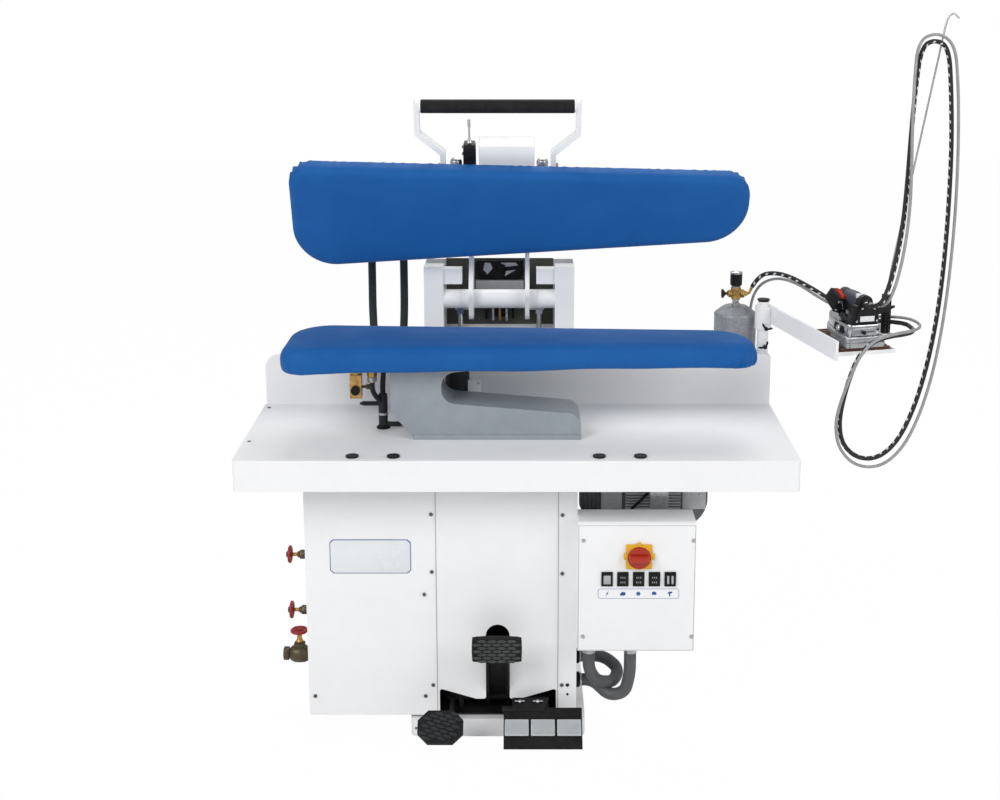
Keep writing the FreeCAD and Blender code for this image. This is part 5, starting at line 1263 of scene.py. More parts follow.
@dataclass
class HeadGear(Assembly):
    """Pieces on the back of the head: handle sleeve, cover box, limit switch trim, studs and cables.

    Places are those of the closed head.
    """

    top: float = 1124.6
    handle: tuple[float, float] = (-438, 1136.6)
    sleeve_half: float = 201
    stud_x: Sequence[float] = (-112, 117)
    cover_low: Point = (-51, -328, 1124.6)
    cover_high: Point = (96, -252, 1186)
    cover_depth: float = 18
    cover_sheet: float = 2.4
    cable: float = 3.6
    nut_rows: Sequence[float] = (-268, -248)

    def build(self) -> None:
        """Make every piece."""
        half = self.sleeve_half
        sleeve = self.bench.turned("handle_sleeve", [(15.5, 0), (17.8, 2.5), (18, 8), (18, 2 * half - 8),
                                                     (17.8, 2 * half - 2.5), (15.5, 2 * half)], (-half, *self.handle),
                                   Axis.X, 0.8, 48, OPEN_HEAD)
        self.bench.dress(sleeve, BLACK_RUBBER, Body.HEAD)
        self._cover()
        self._switch()
        self._studs()
        self._cables()

    def _cover(self) -> None:
        """The folded cover box with its return flange."""
        cover = self.bench.block("head_cover_box", self.cover_low, self.cover_high, 2.2)
        self.bench.choose(cover)
        bpy.ops.object.mode_set(mode="EDIT")
        bpy.ops.mesh.select_all(action="DESELECT")
        bpy.ops.object.mode_set(mode="OBJECT")
        back = max(cover.data.polygons, key=lambda face: face.center.y * 1000 + face.area)
        back.select = True
        bpy.ops.object.mode_set(mode="EDIT")
        bpy.ops.mesh.inset(thickness=self.cover_sheet * MM)
        self.bench.extrude(0, -self.cover_depth, 0)
        bpy.ops.object.mode_set(mode="OBJECT")
        self.bench.settle(cover, OPEN_HEAD)
        self.bench.dress(cover, WHITE_COAT, Body.HEAD, replaces=["head_cover"])
        lip = self.bench.block("head_cover_lip", (-53, -258, self.top), (98, -250, self.top + 5), 1.2, OPEN_HEAD)
        self.bench.dress(lip, WHITE_COAT, Body.HEAD)

    def _switch(self) -> None:
        """The limit switch's crown, band, lid and boot, and its side nuts."""
        top = self.top
        crown = self.bench.block("switch_crown", (-90, -330, top + 1), (-61, -306, top + 33.5), 2.5, OPEN_HEAD)
        self.bench.dress(crown, BLACK_PLASTIC, Body.HEAD)
        band = self.bench.block("switch_band", (-89, -306.5, top + 3), (-62, -303, top + 33), 0.8, OPEN_HEAD)
        self.bench.dress(band, ZINC, Body.HEAD)
        lid = self.bench.block("switch_lid", (-90.5, -301, top + 30), (-60.5, -262, top + 34.5), 2, OPEN_HEAD)
        self.bench.dress(lid, BLACK_PLASTIC, Body.HEAD)
        boot = self.bench.turned("whisker_boot", [(8, 0), (8, 6), (5.5, 9), (4, 15), (2.4, 17)],
                                 (-75.5, -327, top + 18), Axis.Y, 0.5, 24, OPEN_HEAD, True)
        self.bench.dress(boot, ZINC, Body.HEAD)
        spots = [((-92, y, top + 18), Axis.X, True) for y in (-318, -298)]
        self.hardware.place(self.hardware.hexagon(4.4, 4), spots, "switch_nut", ZINC, Body.HEAD, OPEN_HEAD)

    def _studs(self) -> None:
        """The two stop studs with their dark caps, and the nuts beside the handle's brackets."""
        for i, x in enumerate(self.stud_x):
            sleeve = self.bench.turned(f"stop_stud_{i}", [(15, 0), (15, 34), (13.5, 36)], (x, -230, self.top + 20),
                                       Axis.Y, 0.8, 36, OPEN_HEAD, True)
            self.bench.dress(sleeve, WHITE_COAT, Body.HEAD)
            cap = self.bench.turned(f"stop_cap_{i}", [(13.8, 34), (15.6, 36), (15.6, 44), (13, 50), (8, 53), (2, 54)],
                                    (x, -230, self.top + 20), Axis.Y, 0.6, 36, OPEN_HEAD, True)
            self.bench.dress(cap, ZINC, Body.HEAD)
            foot = self.bench.block(f"stud_foot_{i}", (x - 19, -250, self.top - 2), (x + 19, -226, self.top + 9), 2,
                                    OPEN_HEAD)
            self.bench.dress(foot, WHITE_COAT, Body.HEAD)
        spots = []
        for y in self.nut_rows:
            spots += [((153.2, y, self.top + 12), Axis.X, False), ((-153.2, y, self.top + 12), Axis.X, True)]
        self.hardware.place(self.hardware.hexagon(6, 6), spots, "bracket_nut", ZINC, Body.HEAD, OPEN_HEAD)

    def _cables(self) -> None:
        """The terminal block under the cover box and the cables that leave it."""
        top = self.top
        terminal = self.bench.block("terminal_block", (-20, -262, top - 1), (24, -222, top + 26), 2, OPEN_HEAD)
        self.bench.dress(terminal, BLACK_PLASTIC, Body.HEAD)
        routes = {"head_cable_right": [(22, -252, top + 16), (40, -258, top + 16), (62, -250, top + 16),
                                       (76, -228, top + 14), (82, -196, top + 9)],
                  "head_cable_left": [(-76, -266, top + 12), (-70, -250, top + 14), (-56, -236, top + 14),
                                      (-36, -236, top + 14), (-18, -246, top + 14)]}
        for name, route in routes.items():
            line = smooth_line([OPEN_HEAD @ mm(*point) for point in route])
            self.bench.dress(tube_mesh(name, line, lambda _: self.cable * MM, 12), BLACK_PLASTIC, Body.HEAD)


@dataclass
class HingeGear(Assembly):
    """What shows through the hinge's openings: a spider plate with panes, a dark sheet of painted shade behind them, a
    cross bar coloured grey as painted shade, a yoke and pins.
    """

    spider_y: float = 196
    spider_half: float = 66
    low: float = 1126
    high: float = 1178

    def build(self) -> None:
        """Make every piece."""
        half, low, high = self.spider_half, self.low, self.high
        upright = shift(0, self.spider_y, 0) @ UPRIGHT
        spider = self.bench.plate("spider_plate", [(-half + 12, low), (half - 12, low), (half, low + 12), (half, high),
                                                   (-half, high), (-half, low + 12)], 4, upright)
        self.bench.dress(spider, BLACK_COAT)
        panes = [[(-46, low + 26), (-34, low + 12), (-20, low + 30), (-26, low + 46), (-42, low + 46)],
                 [(14, low + 7), (46, low + 26), (18, low + 22)],
                 [(2, low + 46), (16, low + 34), (52, low + 38), (44, low + 47)]]
        front = shift(0, self.spider_y - 4, 0) @ UPRIGHT
        for i, corners in enumerate(panes):
            self.bench.dress(self.bench.plate(f"spider_pane_{i}", corners, 0.8, front, 0.3), CAST_METAL)
        # A dark sheet of painted shade behind the hinge's openings, in place of the shaded inside of the guard.
        self.bench.dress(self.bench.block("hinge_shade_sheet", (-150, 208, 992), (150, 211, 1182), 1), HINGE_SHADE)
        # The cross bar is white-painted; its mid grey colour is painted shade on its face.
        bar = self.bench.block("shaded_hinge_crossbar", (-67, 186, 1097), (67, 200, 1122), 1.4)
        self.bench.dress(bar, BLOWER_PLATE, slot="white_paint")
        yoke = [self.bench.block("yoke_top", (-26, 190, 1052), (26, 204, 1064), 1),
                self.bench.block("yoke_mid", (-14, 188, 1018), (14, 204, 1054), 1),
                self.bench.block("yoke_left", (-40, 194, 1010), (-35, 206, 1060), 0.8),
                self.bench.block("yoke_right", (35, 194, 1010), (40, 206, 1060), 0.8)]
        self.bench.dress(self.bench.join("hinge_yoke", yoke), BLACK_COAT)
        for i, (x, finish) in enumerate(((-19, ZINC), (0, BRASS), (19, ZINC))):
            pin = self.bench.turned(f"yoke_pin_{i}", [(3.4, 0), (3.8, 1), (3.8, 34), (2.6, 36)], (x, 186, 1008),
                                    Axis.Z, 0.3, 20)
            self.bench.dress(pin, finish)
        boss = self.bench.turned("spider_boss", [(13, 0), (13, 5), (9, 8), (4, 8.5)], (4, self.spider_y - 4, low + 30),
                                 Axis.Y, 0.6, 32, None, True)
        self.bench.dress(boss, BLACK_COAT)


@dataclass
class ControlPanel(Assembly):
    """The switch panel's trim: the main switch, the rockers' marks, the row of signs and the cover's screws."""

    face: float = -345
    knob: tuple[float, float] = (359, 521)
    rocker_x: float = 279
    rocker_pitch: float = 40
    rocker_z: float = 460
    strip: tuple[float, float, float, float] = (257, 407, 462, 433)
    screws: Outline = ((219, 563), (496.5, 563), (219, 303), (496.5, 303))

    def upright(self, x: float, z: float, proud: float) -> Matrix:
        """The plane of the panel's face at a point, seen from the front.

        Args:
            x: Place across in millimetres.
            z: Height in millimetres.
            proud: How far the plane stands before the face.

        Returns:
            The plane's place.
        """
        return shift(x, self.face - proud, z) @ UPRIGHT

    def build(self) -> None:
        """Make every piece."""
        self._main_switch()
        self._rockers()
        self._signs()
        spots = [((x, self.face, z), Axis.Y, True) for x, z in self.screws]
        self.hardware.place(self.hardware.screw(5.4), spots, "panel_screw", ZINC)

    def _main_switch(self) -> None:
        """Plate with its ring and tabs, and the round red handle with its bar."""
        x, z = self.knob
        half = 33
        plate = self.bench.block("switch_base", (x - half, self.face - 6, z - half), (x + half, self.face, z + half),
                                 2.4)
        self.bench.dress(plate, YELLOW_PLASTIC, replaces=["switch_plate"])
        ring = self.bench.turned("switch_ring", [(31.5, 0), (32.2, 1.5), (32.2, 5), (30.8, 6.4), (29.6, 6.4),
                                                 (29.6, 2)], (x, self.face - 5.5, z), Axis.Y, 0.5, 56, None, True)
        self.bench.dress(ring, YELLOW_PLASTIC)
        for i, (across, up) in enumerate(((0, 34), (-35, 2), (35, 2))):
            wide = (4.2, 5.5) if up > 10 else (4, 8)
            tab = self.bench.block(f"switch_tab_{i}", (x + across - wide[0], self.face - 10, z + up - wide[1]),
                                   (x + across + wide[0], self.face - 4, z + up + wide[1]), 1.4)
            self.bench.dress(tab, YELLOW_PLASTIC)
        disc = self.bench.turned("knob_disc", [(20, 0), (28.4, 0.4), (28.8, 2), (28.8, 5), (27.6, 7.4), (24, 8.4),
                                               (6, 8.8)], (x, self.face - 7, z), Axis.Y, 0.6, 56, None, True)
        bar = self.bench.block("knob_bar", (x - 27, self.face - 30, z - 9), (x + 27, self.face - 12, z + 9), 4)
        knob = self.bench.join("knob_handle", [disc, bar])
        self.bench.dress(knob, RED_PLASTIC, Body.KNOB, replaces=["main_knob"])

    def _rockers(self) -> None:
        """Dots and bars on the rockers, and the lamp's lens."""
        x, z = self.rocker_x, self.rocker_z
        lens = self.bench.block("lamp_lens", (x - 9, self.face - 7.5, z - 12), (x + 9, self.face - 4, z + 11), 1.6)
        self.bench.dress(lens, PALE_RUBBER)
        bodies = (Body.ROCKER_1, Body.ROCKER_2, Body.ROCKER_3, Body.ROCKER_4)
        centre = mm(0, self.face, z)
        tilt = Matrix.Translation(centre) @ turn("X", -8) @ Matrix.Translation(-centre)
        for i, body in enumerate(bodies, start=1):
            at = x + i * self.rocker_pitch
            if i == 4:
                spots = [(-5.5, -1, 2.6, 10.5), (5.5, -1, 2.6, 10.5)]
            else:
                spots = [(across, up, 0.9, 2.2) for across in (-5, 0, 5) for up in (5, -7)]
            marks = [self.bench.block(f"rocker_mark_{i}_{k}", (at + u - w, self.face - 7.6, z + v - h),
                                      (at + u + w, self.face - 6.6, z + v + h), 0.3, tilt) for k,
                     (u, v, w, h) in enumerate(spots)]
            self.bench.dress(self.bench.join(f"rocker_marks_{i}", marks), PALE_RUBBER, body)

    def _signs(self) -> None:
        """The outlined strip below the rockers with five plain signs."""
        left, low, right, high = self.strip
        corner = 6
        route = []
        for cx, cz, start in ((right - corner, low + corner, -90), (right - corner, high - corner, 0),
                              (left + corner, high - corner, 90), (left + corner, low + corner, 180)):
            for k in range(9):
                angle = math.radians(start + 90 * k / 8)
                route.append(mm(cx + corner * math.cos(angle), self.face - 0.1, cz + corner * math.sin(angle)))
        route.append(mm((left + right) / 2, self.face - 0.1, low))
        route.append(route[0].copy())
        self.bench.dress(tube_mesh("sign_strip", route, lambda _: 0.75 * MM, 8), PRINT_PALE)
        middle = (low + high) / 2
        zigzag = [(-4, -8), (0, -1), (-2, -0.5), (4.5, 8), (1.5, 1.2), (3.6, 0.6)]
        motor = [(-7, -5), (5, -5), (8, -1), (6, 4), (-3, 5), (-3, 1), (-6.5, 0.5)]
        half_round = [(6 * math.cos(math.radians(a)), 6 * math.sin(math.radians(a))) for a in range(-30, 211, 30)]
        fan = [(r * math.cos(math.radians(a)), r * math.sin(math.radians(a))) for a,
               r in zip(range(0, 360, 30), (7, 4) * 6)]
        spout = [(-2, -7), (1, -7), (1.5, 1), (6, 2), (6, 6), (-4, 5), (-5, 1), (-2, 0)]
        for i, corners in enumerate((zigzag, motor, fan, half_round, spout)):
            place = self.upright(self.rocker_x + i * self.rocker_pitch, middle, 0)
            self.bench.dress(self.bench.plate(f"sign_{i}", corners, 0.4, place, 0), PRINT_BLUE)


@dataclass
class Pedals(Assembly):
    """Rubber treads of the press and release pedals, and the vacuum pedal's borders and fixings."""

    press_tilt: float = 12
    release_slope: float = 38
    release_slant: float = -17
    tile: float = 2.6
    lozenge: Outline = ((-12.6, 0), (-5, -4.3), (5, -4.3), (12.6, 0), (5, 4.3), (-5, 4.3))
    pitch: tuple[float, float] = (24.8, 10.2)
    pad_half: tuple[float, float] = (62, 37)
    press_at: Point = (0, -400, 294)
    release_at: Point = (-144, -408, 80)
    vacuum_at: Point = (0, -412, 26)
    vacuum_rise: Point = (0, 76, 74)
    vacuum_pads: tuple[float, float] = (16, 202)

    def build(self) -> None:
        """Make every piece."""
        self._press()
        self._release()
        self._vacuum()

    def _tiles(self, name: str, spots: Outline, place: Matrix) -> Object:
        """Raised tiles of a tread, one modelled and the others copied.

        Args:
            name: Name of the whole.
            spots: Where the tiles' middles are on the tread's plane.
            place: Where the tread's plane goes.

        Returns:
            The tiles as one object.
        """
        master = self.bench.plate("tile", self.lozenge, self.tile, Matrix.Identity(4), 0.9)
        tiles = [self.bench.copy(master, f"{name}_{i}", place @ shift(u, v, 0)) for i, (u, v) in enumerate(spots)]
        bpy.data.objects.remove(master)
        return self.bench.join(name, tiles)

    def _staggered(self, rows: int) -> list[tuple[float, float]]:
        """Middles of lozenges in staggered rows either side of the middle row, in millimetres."""
        across, up = self.pitch
        return [((across / 2 if row % 2 else 0) + across * k, up * row) for row in range(-rows, rows + 1)
                for k in range(-3, 4)]

    def _press(self) -> None:
        """The press pedal's barrel-shaped pad with wavy rows of lozenges."""
        across, up = self.pad_half
        outline = [(across * (k / 12 - 1), -up + 4.5 * (k / 12 - 1) ** 2) for k in range(25)]
        outline += [(across + 0.6, -up + 12), (across + 1.4, 0), (across + 0.6, up - 12)]
        outline += [(across * (1 - k / 12), up - 4.5 * (1 - k / 12) ** 2) for k in range(25)]
        outline += [(-across - 0.6, up - 12), (-across - 1.4, 0), (-across - 0.6, -up + 12)]
        face = shift(*self.press_at) @ turn("X", 90 + self.press_tilt)
        pad = self.bench.plate("press_tread", outline, 17, face @ shift(0, 0, -9), 2.2)
        self.bench.dress(pad, BLACK_RUBBER, Body.PRESS_PEDAL, replaces=["press_pedal_pad"])
        spots = [(u, v) for u, v in self._staggered(3) if abs(u) < across - 11]
        tiles = self._tiles("press_lozenges", spots, face @ shift(0, 0, 7.4))
        # The raised tiles are coloured lighter than the pad as a painted highlight.
        self.bench.dress(tiles, TREAD_HIGHLIGHT, Body.PRESS_PEDAL)

    def _release(self) -> None:
        """The release pedal's tread, with slanting rows of lozenges."""
        face = shift(*self.release_at) @ turn("X", self.release_slope)
        slant = turn("Z", self.release_slant)
        spots = []
        for u, v in self._staggered(5):
            x, y, _ = slant @ Vector((u, v, 0))
            if abs(x) < 46 and abs(y) < 38 and abs(x) + abs(y) < 70:
                spots.append((u, v))
        tiles = self._tiles("release_tiles", spots, face @ shift(0, 0, 15.4) @ slant)
        # The tiles take a black a little lighter than the pedal's rubber: a painted highlight on the raised rows.
        self.bench.dress(tiles, DARK_HOSE, Body.RELEASE_PEDAL, slot="black_rubber")

    def _vacuum(self) -> None:
        """Pale borders of the three pads, the hanger plate above them and its two wing nuts."""
        along = Vector(self.vacuum_rise).normalized()
        left, width = self.vacuum_pads
        plane = shift(*self.vacuum_at) @ Matrix.Rotation(math.atan2(along.z, along.y), 4, "X")
        for i in range(3):
            middle = left + (i + 0.5) * width / 3
            rim = self.bench.plate(f"pad_rim_{i}", [(middle - 30.5, 32.5), (middle + 30.5, 32.5),
                                                    (middle + 30.5, 73.5), (middle - 30.5, 73.5)], 6.4,
                                   plane @ shift(0, 0, 2.4), 1.2)
            self.bench.dress(rim, BARE_PLATE, Body.VACUUM_PEDAL, slot="pale_rubber")
        hanger = self.bench.plate("pedal_hanger", [(12, 96), (119, 96), (133, 132), (38, 132), (38, 110), (12, 110)],
                                  4, plane, 0.8)
        self.bench.dress(hanger, BLACK_COAT, Body.VACUUM_PEDAL)
        for i, x in enumerate((58, 104)):
            hub = self.bench.turned(f"nut_hub_{i}", [(5.4, -0.5), (5.4, 5), (3.6, 9), (1.6, 9.6)], (x, 120, 4), Axis.Z,
                                    0.4, 24, plane)
            wings = [self.bench.block(f"nut_wing_{i}_{side}", (x + side * 8 - 5, 118.2, 6),
                                      (x + side * 8 + 5, 121.8, 14), 1.4, plane) for side in (-1, 1)]
            self.bench.dress(self.bench.join(f"wing_nut_{i}", [hub, *wings]), ZINC, Body.VACUUM_PEDAL)


@dataclass
class Separator(Assembly):
    """The steam separator: its foil jacket's seam, the brass cross with its hexagons, the coil and the throttle."""

    axis: tuple[float, float] = (665, 205)
    shoulder: float = 1022
    top: float = 1050
    cross: float = 1081
    jacket: float = 57.2
    elbow: tuple[float, float] = (710, 1100)

    def build(self) -> None:
        """Make every piece."""
        x, y = self.axis
        seam = []
        for k in range(97):
            angle = 2 * math.pi * k / 96
            wander = 1.6 * math.sin(5 * angle) + 1.1 * math.sin(13 * angle + 1)
            reach = self.jacket + 0.5 * math.sin(17 * angle)
            seam.append(mm(x + reach * math.cos(angle), y + reach * math.sin(angle), self.shoulder + wander))
        self.bench.dress(tube_mesh("jacket_seam", seam, lambda s: (1.9 + 0.6 * math.sin(s * 260)) * MM, 10), FOIL)
        turned = [("tank_ring", [(12.5, 0), (12.5, 4), (10, 6)], self.top - 2, ZINC, 32),
                  ("tank_nipple", [(9.5, 0), (9.5, 8), (11, 8.5), (11, 15)], self.top + 3, ZINC, 32),
                  ("cross_body", [(12, 0), (14.5, 1), (14.5, 12), (15.8, 13), (15.8, 33), (14, 35)], self.cross - 16,
                   BRASS, 6),
                  ("coil_foot", [(11, 0), (12.5, 1), (12.5, 5), (10, 8)], self.cross + 17, ZINC, 32),
                  ("coil_body", [(12, 0), (16.2, 5), (16.8, 8), (16.8, 36), (16, 37)], self.cross + 21, BLACK_PLASTIC,
                   40),
                  ("coil_cap", [(16.2, 0), (17, 1), (17, 5), (14.5, 6.5), (12, 5.5), (8, 7), (3, 8)], self.cross + 57,
                   ZINC, 40)]
        for name, steps, height, finish, sides in turned:
            piece = self.bench.turned(name, steps, (x, y, height), Axis.Z, 0.5, sides)
            self.bench.dress(piece, finish, replaces=["separator_fittings"] if name == "cross_body" else [])
        left = self.bench.turned("cross_left", [(6, 0), (10.5, 5), (11.5, 6), (11.5, 14), (9, 16)],
                                 (x - 26, y, self.cross), Axis.X, 0.5, 6)
        right = self.bench.turned("cross_right", [(9, 0), (12.6, 1), (12.6, 10), (8.5, 13), (7.4, 14), (7.4, 18),
                                                  (4.4, 20)], (x + 12, y, self.cross), Axis.X, 0.5, 6)
        for piece in (left, right):
            self.bench.dress(piece, BRASS)
        end, rise = self.elbow
        bend = smooth_line([mm(x + 28, y, self.cross), mm(x + 36, y, self.cross), mm(end - 4, y, self.cross + 8),
                            mm(end, y, rise)])
        self.bench.dress(tube_mesh("cross_elbow", bend, lambda _: 4.2 * MM, 16), BRASS)
        knob = self.bench.turned("throttle_mushroom", [(3, 0), (3, 7), (7, 11), (12.6, 15), (13, 16.5), (13, 18.5),
                                                       (11.5, 20), (4, 20.5)], (x - 20.5, y, self.cross), Axis.X, 0.5,
                                 36, None, True)
        self.bench.dress(knob, BLACK_PLASTIC, Body.THROTTLE, replaces=["throttle_knob"])


@dataclass
class StandGear(Assembly):
    """Trim of the iron's stand: the post's cap and the two wing screws."""

    foot: tuple[float, float] = (735, 150)
    screws: Sequence[tuple[float, float, float]] = ((127, 1001, 25), (134.5, 947, -35))

    def build(self) -> None:
        """Make every piece."""
        x, y = self.foot
        cap = self.bench.turned("post_cap", [(14, -1), (14, 2), (17.5, 3), (18, 5), (16, 7), (4, 8)], (x, y, 1071),
                                Axis.Z, 0.5, 40)
        self.bench.dress(cap, BLACK_PLASTIC)
        for i, (start, height, lean) in enumerate(self.screws):
            place = shift(x + 3, start, height) @ turn("Y", lean)
            shank = self.bench.turned(f"wing_shank_{i}", [(3.4, -2), (3.4, 12), (5.4, 12.5), (5.4, 20), (3, 21)],
                                      (0, 0, 0), Axis.Y, 0.3, 20, place, True)
            wings = [self.bench.plate(f"wing_{i}_{side}", [(side * 3, -2.5), (side * 13, 3), (side * 17, 10),
                                                           (side * 12, 10), (side * 4, 4)][::side], 3,
                                      place @ shift(0, -14, 0) @ UPRIGHT, 0.8) for side in (1, -1)]
            whole = self.bench.join(f"wing_screw_{i}", [shank, *wings])
            self.bench.dress(whole, BLACK_PLASTIC)


@dataclass
class Iron(Assembly):
    """The steam iron: cast body, black yoke with its box and cover, shaped grip, switch box and red rocker.

    Places are the stand's own: its axis at the origin and the arm along -y.
    """

    middle: float = 103.5
    heel: float = -422
    sole_top: float = 1048.9
    deck: float = 1094.9
    grip_z: float = 1148.9

    def plan(self, inset: float) -> list[tuple[float, float]]:
        """Outline of the body: flat heel, bowed sides and a rounded nose.

        Args:
            inset: How far inside the sole's edge.

        Returns:
            Corners in millimetres, anticlockwise.
        """
        half = 56 - inset
        length = 205 - 1.4 * inset
        start = self.heel + inset
        right = []
        for k in range(25):
            share = k / 24
            right.append((half * max(1 - share ** 2.6, 0) ** 0.62, start + length * share))
        right = [(half - 6, start)] + [(half, start + 6)] + right[2:]
        left = [(-u, v) for u, v in reversed(right[:-1])]
        return [(self.middle + u, v) for u, v in right + left]

    def _level(self, height: float) -> Matrix:
        """A level plane of the stand at a height in millimetres."""
        return ON_STAND @ shift(0, 0, height)

    def build(self) -> None:
        """Make every piece."""
        self._casting()
        self._yoke()
        self._grip()
        self._buttons()

    def _casting(self) -> None:
        """Cast body in two steps, its side bosses and the heel's control plate."""
        m, heel, low, deck = self.middle, self.heel, self.sole_top, self.deck
        band = self.bench.plate("iron_band", self.plan(3), 16, self._level(low - 1), 2.5)
        self.bench.dress(band, CAST_METAL, Body.IRON, replaces=["iron_body"])
        shell = self.bench.plate("iron_shell", self.plan(11), deck - low - 15, self._level(low + 14), 7)
        self.bench.dress(shell, CHROME, Body.IRON)
        for side in (-1, 1):
            recess = self.bench.block(f"iron_recess_{side}", (m + side * 30 - 16, heel + 34, low + 17),
                                      (m + side * 30 + 16, heel + 96, low + 37), 4, ON_STAND)
            self.bench.dress(recess, BLACK_COAT, Body.IRON)
            boss = self.bench.turned(f"iron_boss_{side}", [(9, 0), (9, 7), (7, 9), (3, 9.5)],
                                     (m + side * 44, heel + 62, low + 27), Axis.X, 0.8, 32, ON_STAND, side < 0)
            self.bench.dress(boss, CHROME, Body.IRON)
        plate = self.bench.block("heel_plate", (m - 34, heel + 7, low + 17), (m + 30, heel + 13, low + 37), 1.4,
                                 ON_STAND)
        self.bench.dress(plate, CAST_METAL, Body.IRON)
        slot = self.bench.block("heel_slot", (m - 6, heel + 6, low + 26), (m + 24, heel + 9, low + 28), 0.6, ON_STAND)
        self.bench.dress(slot, BLACK_PLASTIC, Body.IRON)
        knob = self.bench.turned("heel_knob", [(3, 0), (3, 5), (5.2, 6), (5.2, 12), (3, 13.5)],
                                 (m - 8, heel + 8, low + 27), Axis.Y, 0.5, 24, ON_STAND, True)
        self.bench.dress(knob, BLACK_PLASTIC, Body.IRON)

    def _yoke(self) -> None:
        """Black base with the rear box, its screwed cover and cord arm, and the front post."""
        m, heel, deck = self.middle, self.heel, self.deck
        base = self.bench.plate("yoke_base", [(m - 34, heel + 10), (m + 34, heel + 10), (m + 30, heel + 60),
                                              (m + 17, heel + 100), (m + 14, heel + 140), (m - 14, heel + 140),
                                              (m - 17, heel + 100), (m - 30, heel + 60)], 13, self._level(deck - 3), 3)
        self.bench.dress(base, BLACK_PLASTIC, Body.IRON, replaces=["iron_grip"])
        side_on = ON_STAND @ shift(m - 12, 0, 0) @ SIDE_ON
        front = heel + 118
        post = self.bench.plate("front_post", [(front - 8, deck + 4), (front + 22, deck + 4),
                                               (front + 26, self.grip_z + 4), (front + 2, self.grip_z + 4),
                                               (front - 2, deck + 34)], 24, side_on, 3.5)
        self.bench.dress(post, BLACK_PLASTIC, Body.IRON)
        seen = ON_STAND @ shift(m, heel + 46, deck) @ UPRIGHT
        box = self.bench.plate("rear_box", [(-35, 4), (33, 4), (33, 30), (30, 50), (14, 50), (10, 66), (-10, 66),
                                            (-16, 50), (-28, 48)], 36, seen, 3)
        self.bench.dress(box, BLACK_PLASTIC, Body.IRON)
        front_on = ON_STAND @ shift(m, heel + 10, deck) @ UPRIGHT
        cover = self.bench.plate("box_cover", [(-31, 5), (31, 5), (35, 14), (33, 24), (78, 40), (78, 46), (30, 44),
                                               (26, 47), (-14, 47), (-20, 42)], 4, front_on, 1.2)
        self.bench.dress(cover, BLACK_PLASTIC, Body.IRON)
        label = self.bench.plate("box_plate", [(-17, 8), (22, 8), (22, 22), (-17, 22)], 0.8,
                                 front_on @ shift(0, 0, 3.8), 0.3)
        self.bench.dress(label, BARE_PLATE, Body.IRON)
        spots = [((m + u, heel + 6, deck + v), Axis.Y, True) for u, v in ((-26, 9), (29, 9), (-12, 42), (22, 41))]
        self.hardware.place(self.hardware.screw(3), spots, "cover_screw", ZINC, Body.IRON, ON_STAND)
        block = self.bench.block("valve_block", (m - 14, heel + 62, deck + 8), (m + 16, heel + 96, deck + 22), 2,
                                 ON_STAND)
        self.bench.dress(block, CAST_METAL, Body.IRON)

    def _grip(self) -> None:
        """Bulging grip between a front collar and a round rear cap, and the lead clamp."""
        m, z = self.middle, self.grip_z
        pieces = [("grip_collar", [(8, 0), (14, 1), (17.5, 5), (18, 9), (17.5, 24), (15, 26)], BLACK_PLASTIC),
                  ("grip_handle", [(14, 22), (17, 26), (18.6, 44), (19.2, 66), (18.2, 90), (16, 108), (14, 110)],
                   GRIP_LEATHER),
                  ("grip_cap", [(14, 106), (18, 108), (20, 112), (20, 128), (18.5, 130), (9, 130.5), (8.5, 128.5)],
                   BLACK_PLASTIC),
                  ("grip_screw", [(5.2, 127), (5.2, 131), (3.4, 132.2), (1.6, 131.4)], ZINC)]
        for name, steps, finish in pieces:
            piece = self.bench.turned(name, steps, (m, self.heel + 141, z), Axis.Y, 0.8, 40, ON_STAND, True)
            self.bench.dress(piece, finish, Body.IRON)
        clamp = self.bench.block("lead_clamp", (m - 16, self.heel + 27, z + 8), (m + 4, self.heel + 40, z + 21), 2.5,
                                 ON_STAND)
        self.bench.dress(clamp, BARE_PLATE, Body.IRON)

    def _buttons(self) -> None:
        """The slanted switch box beside the grip's front end, with its red rocker, dots and screws."""
        place = ON_STAND @ shift(self.middle - 32, self.heel + 116, self.grip_z - 12) @ turn("X", 24) @ turn("Y", 22)
        case = self.bench.plate("switch_case", [(-17, -14), (-8, -22), (14, -22), (19, -10), (19, 18), (-17, 18)], 54,
                                place @ shift(0, 27, 0) @ UPRIGHT, 3)
        self.bench.dress(case, BLACK_PLASTIC, Body.IRON)
        trim = self.bench.block("switch_trim", (-12, -24, 16), (14, 24, 20), 1.6, place)
        self.bench.dress(trim, BLACK_PLASTIC, Body.IRON)
        rocker = self.bench.plate("switch_rocker", [(-22, 0), (22, 0), (22, 5), (14, 9), (4, 6.5), (-6, 7.5),
                                                    (-16, 10), (-22, 7)], 17, place @ shift(-7.5, 0, 18) @ SIDE_ON, 2)
        self.bench.dress(rocker, RED_PLASTIC, Body.TRIGGER, replaces=["iron_trigger"])
        spots = [((-10, -27, 10), Axis.Y, True), ((-4, -27, -14), Axis.Y, True)]
        self.hardware.place(self.hardware.screw(4), spots, "case_screw", ZINC, Body.IRON, place)
        dots = [self.bench.block(f"case_dot_{k}", (u - 1.2, -28, v - 1.2), (u + 1.2, -26.5, v + 1.2), 0.4, place)
                for k, (u, v) in enumerate(((-4, 13), (1, 8), (6, 3), (11, -4)))]
        self.bench.dress(self.bench.join("case_dots", dots), PRINT_PALE, Body.IRON, slot="grip_plastic")


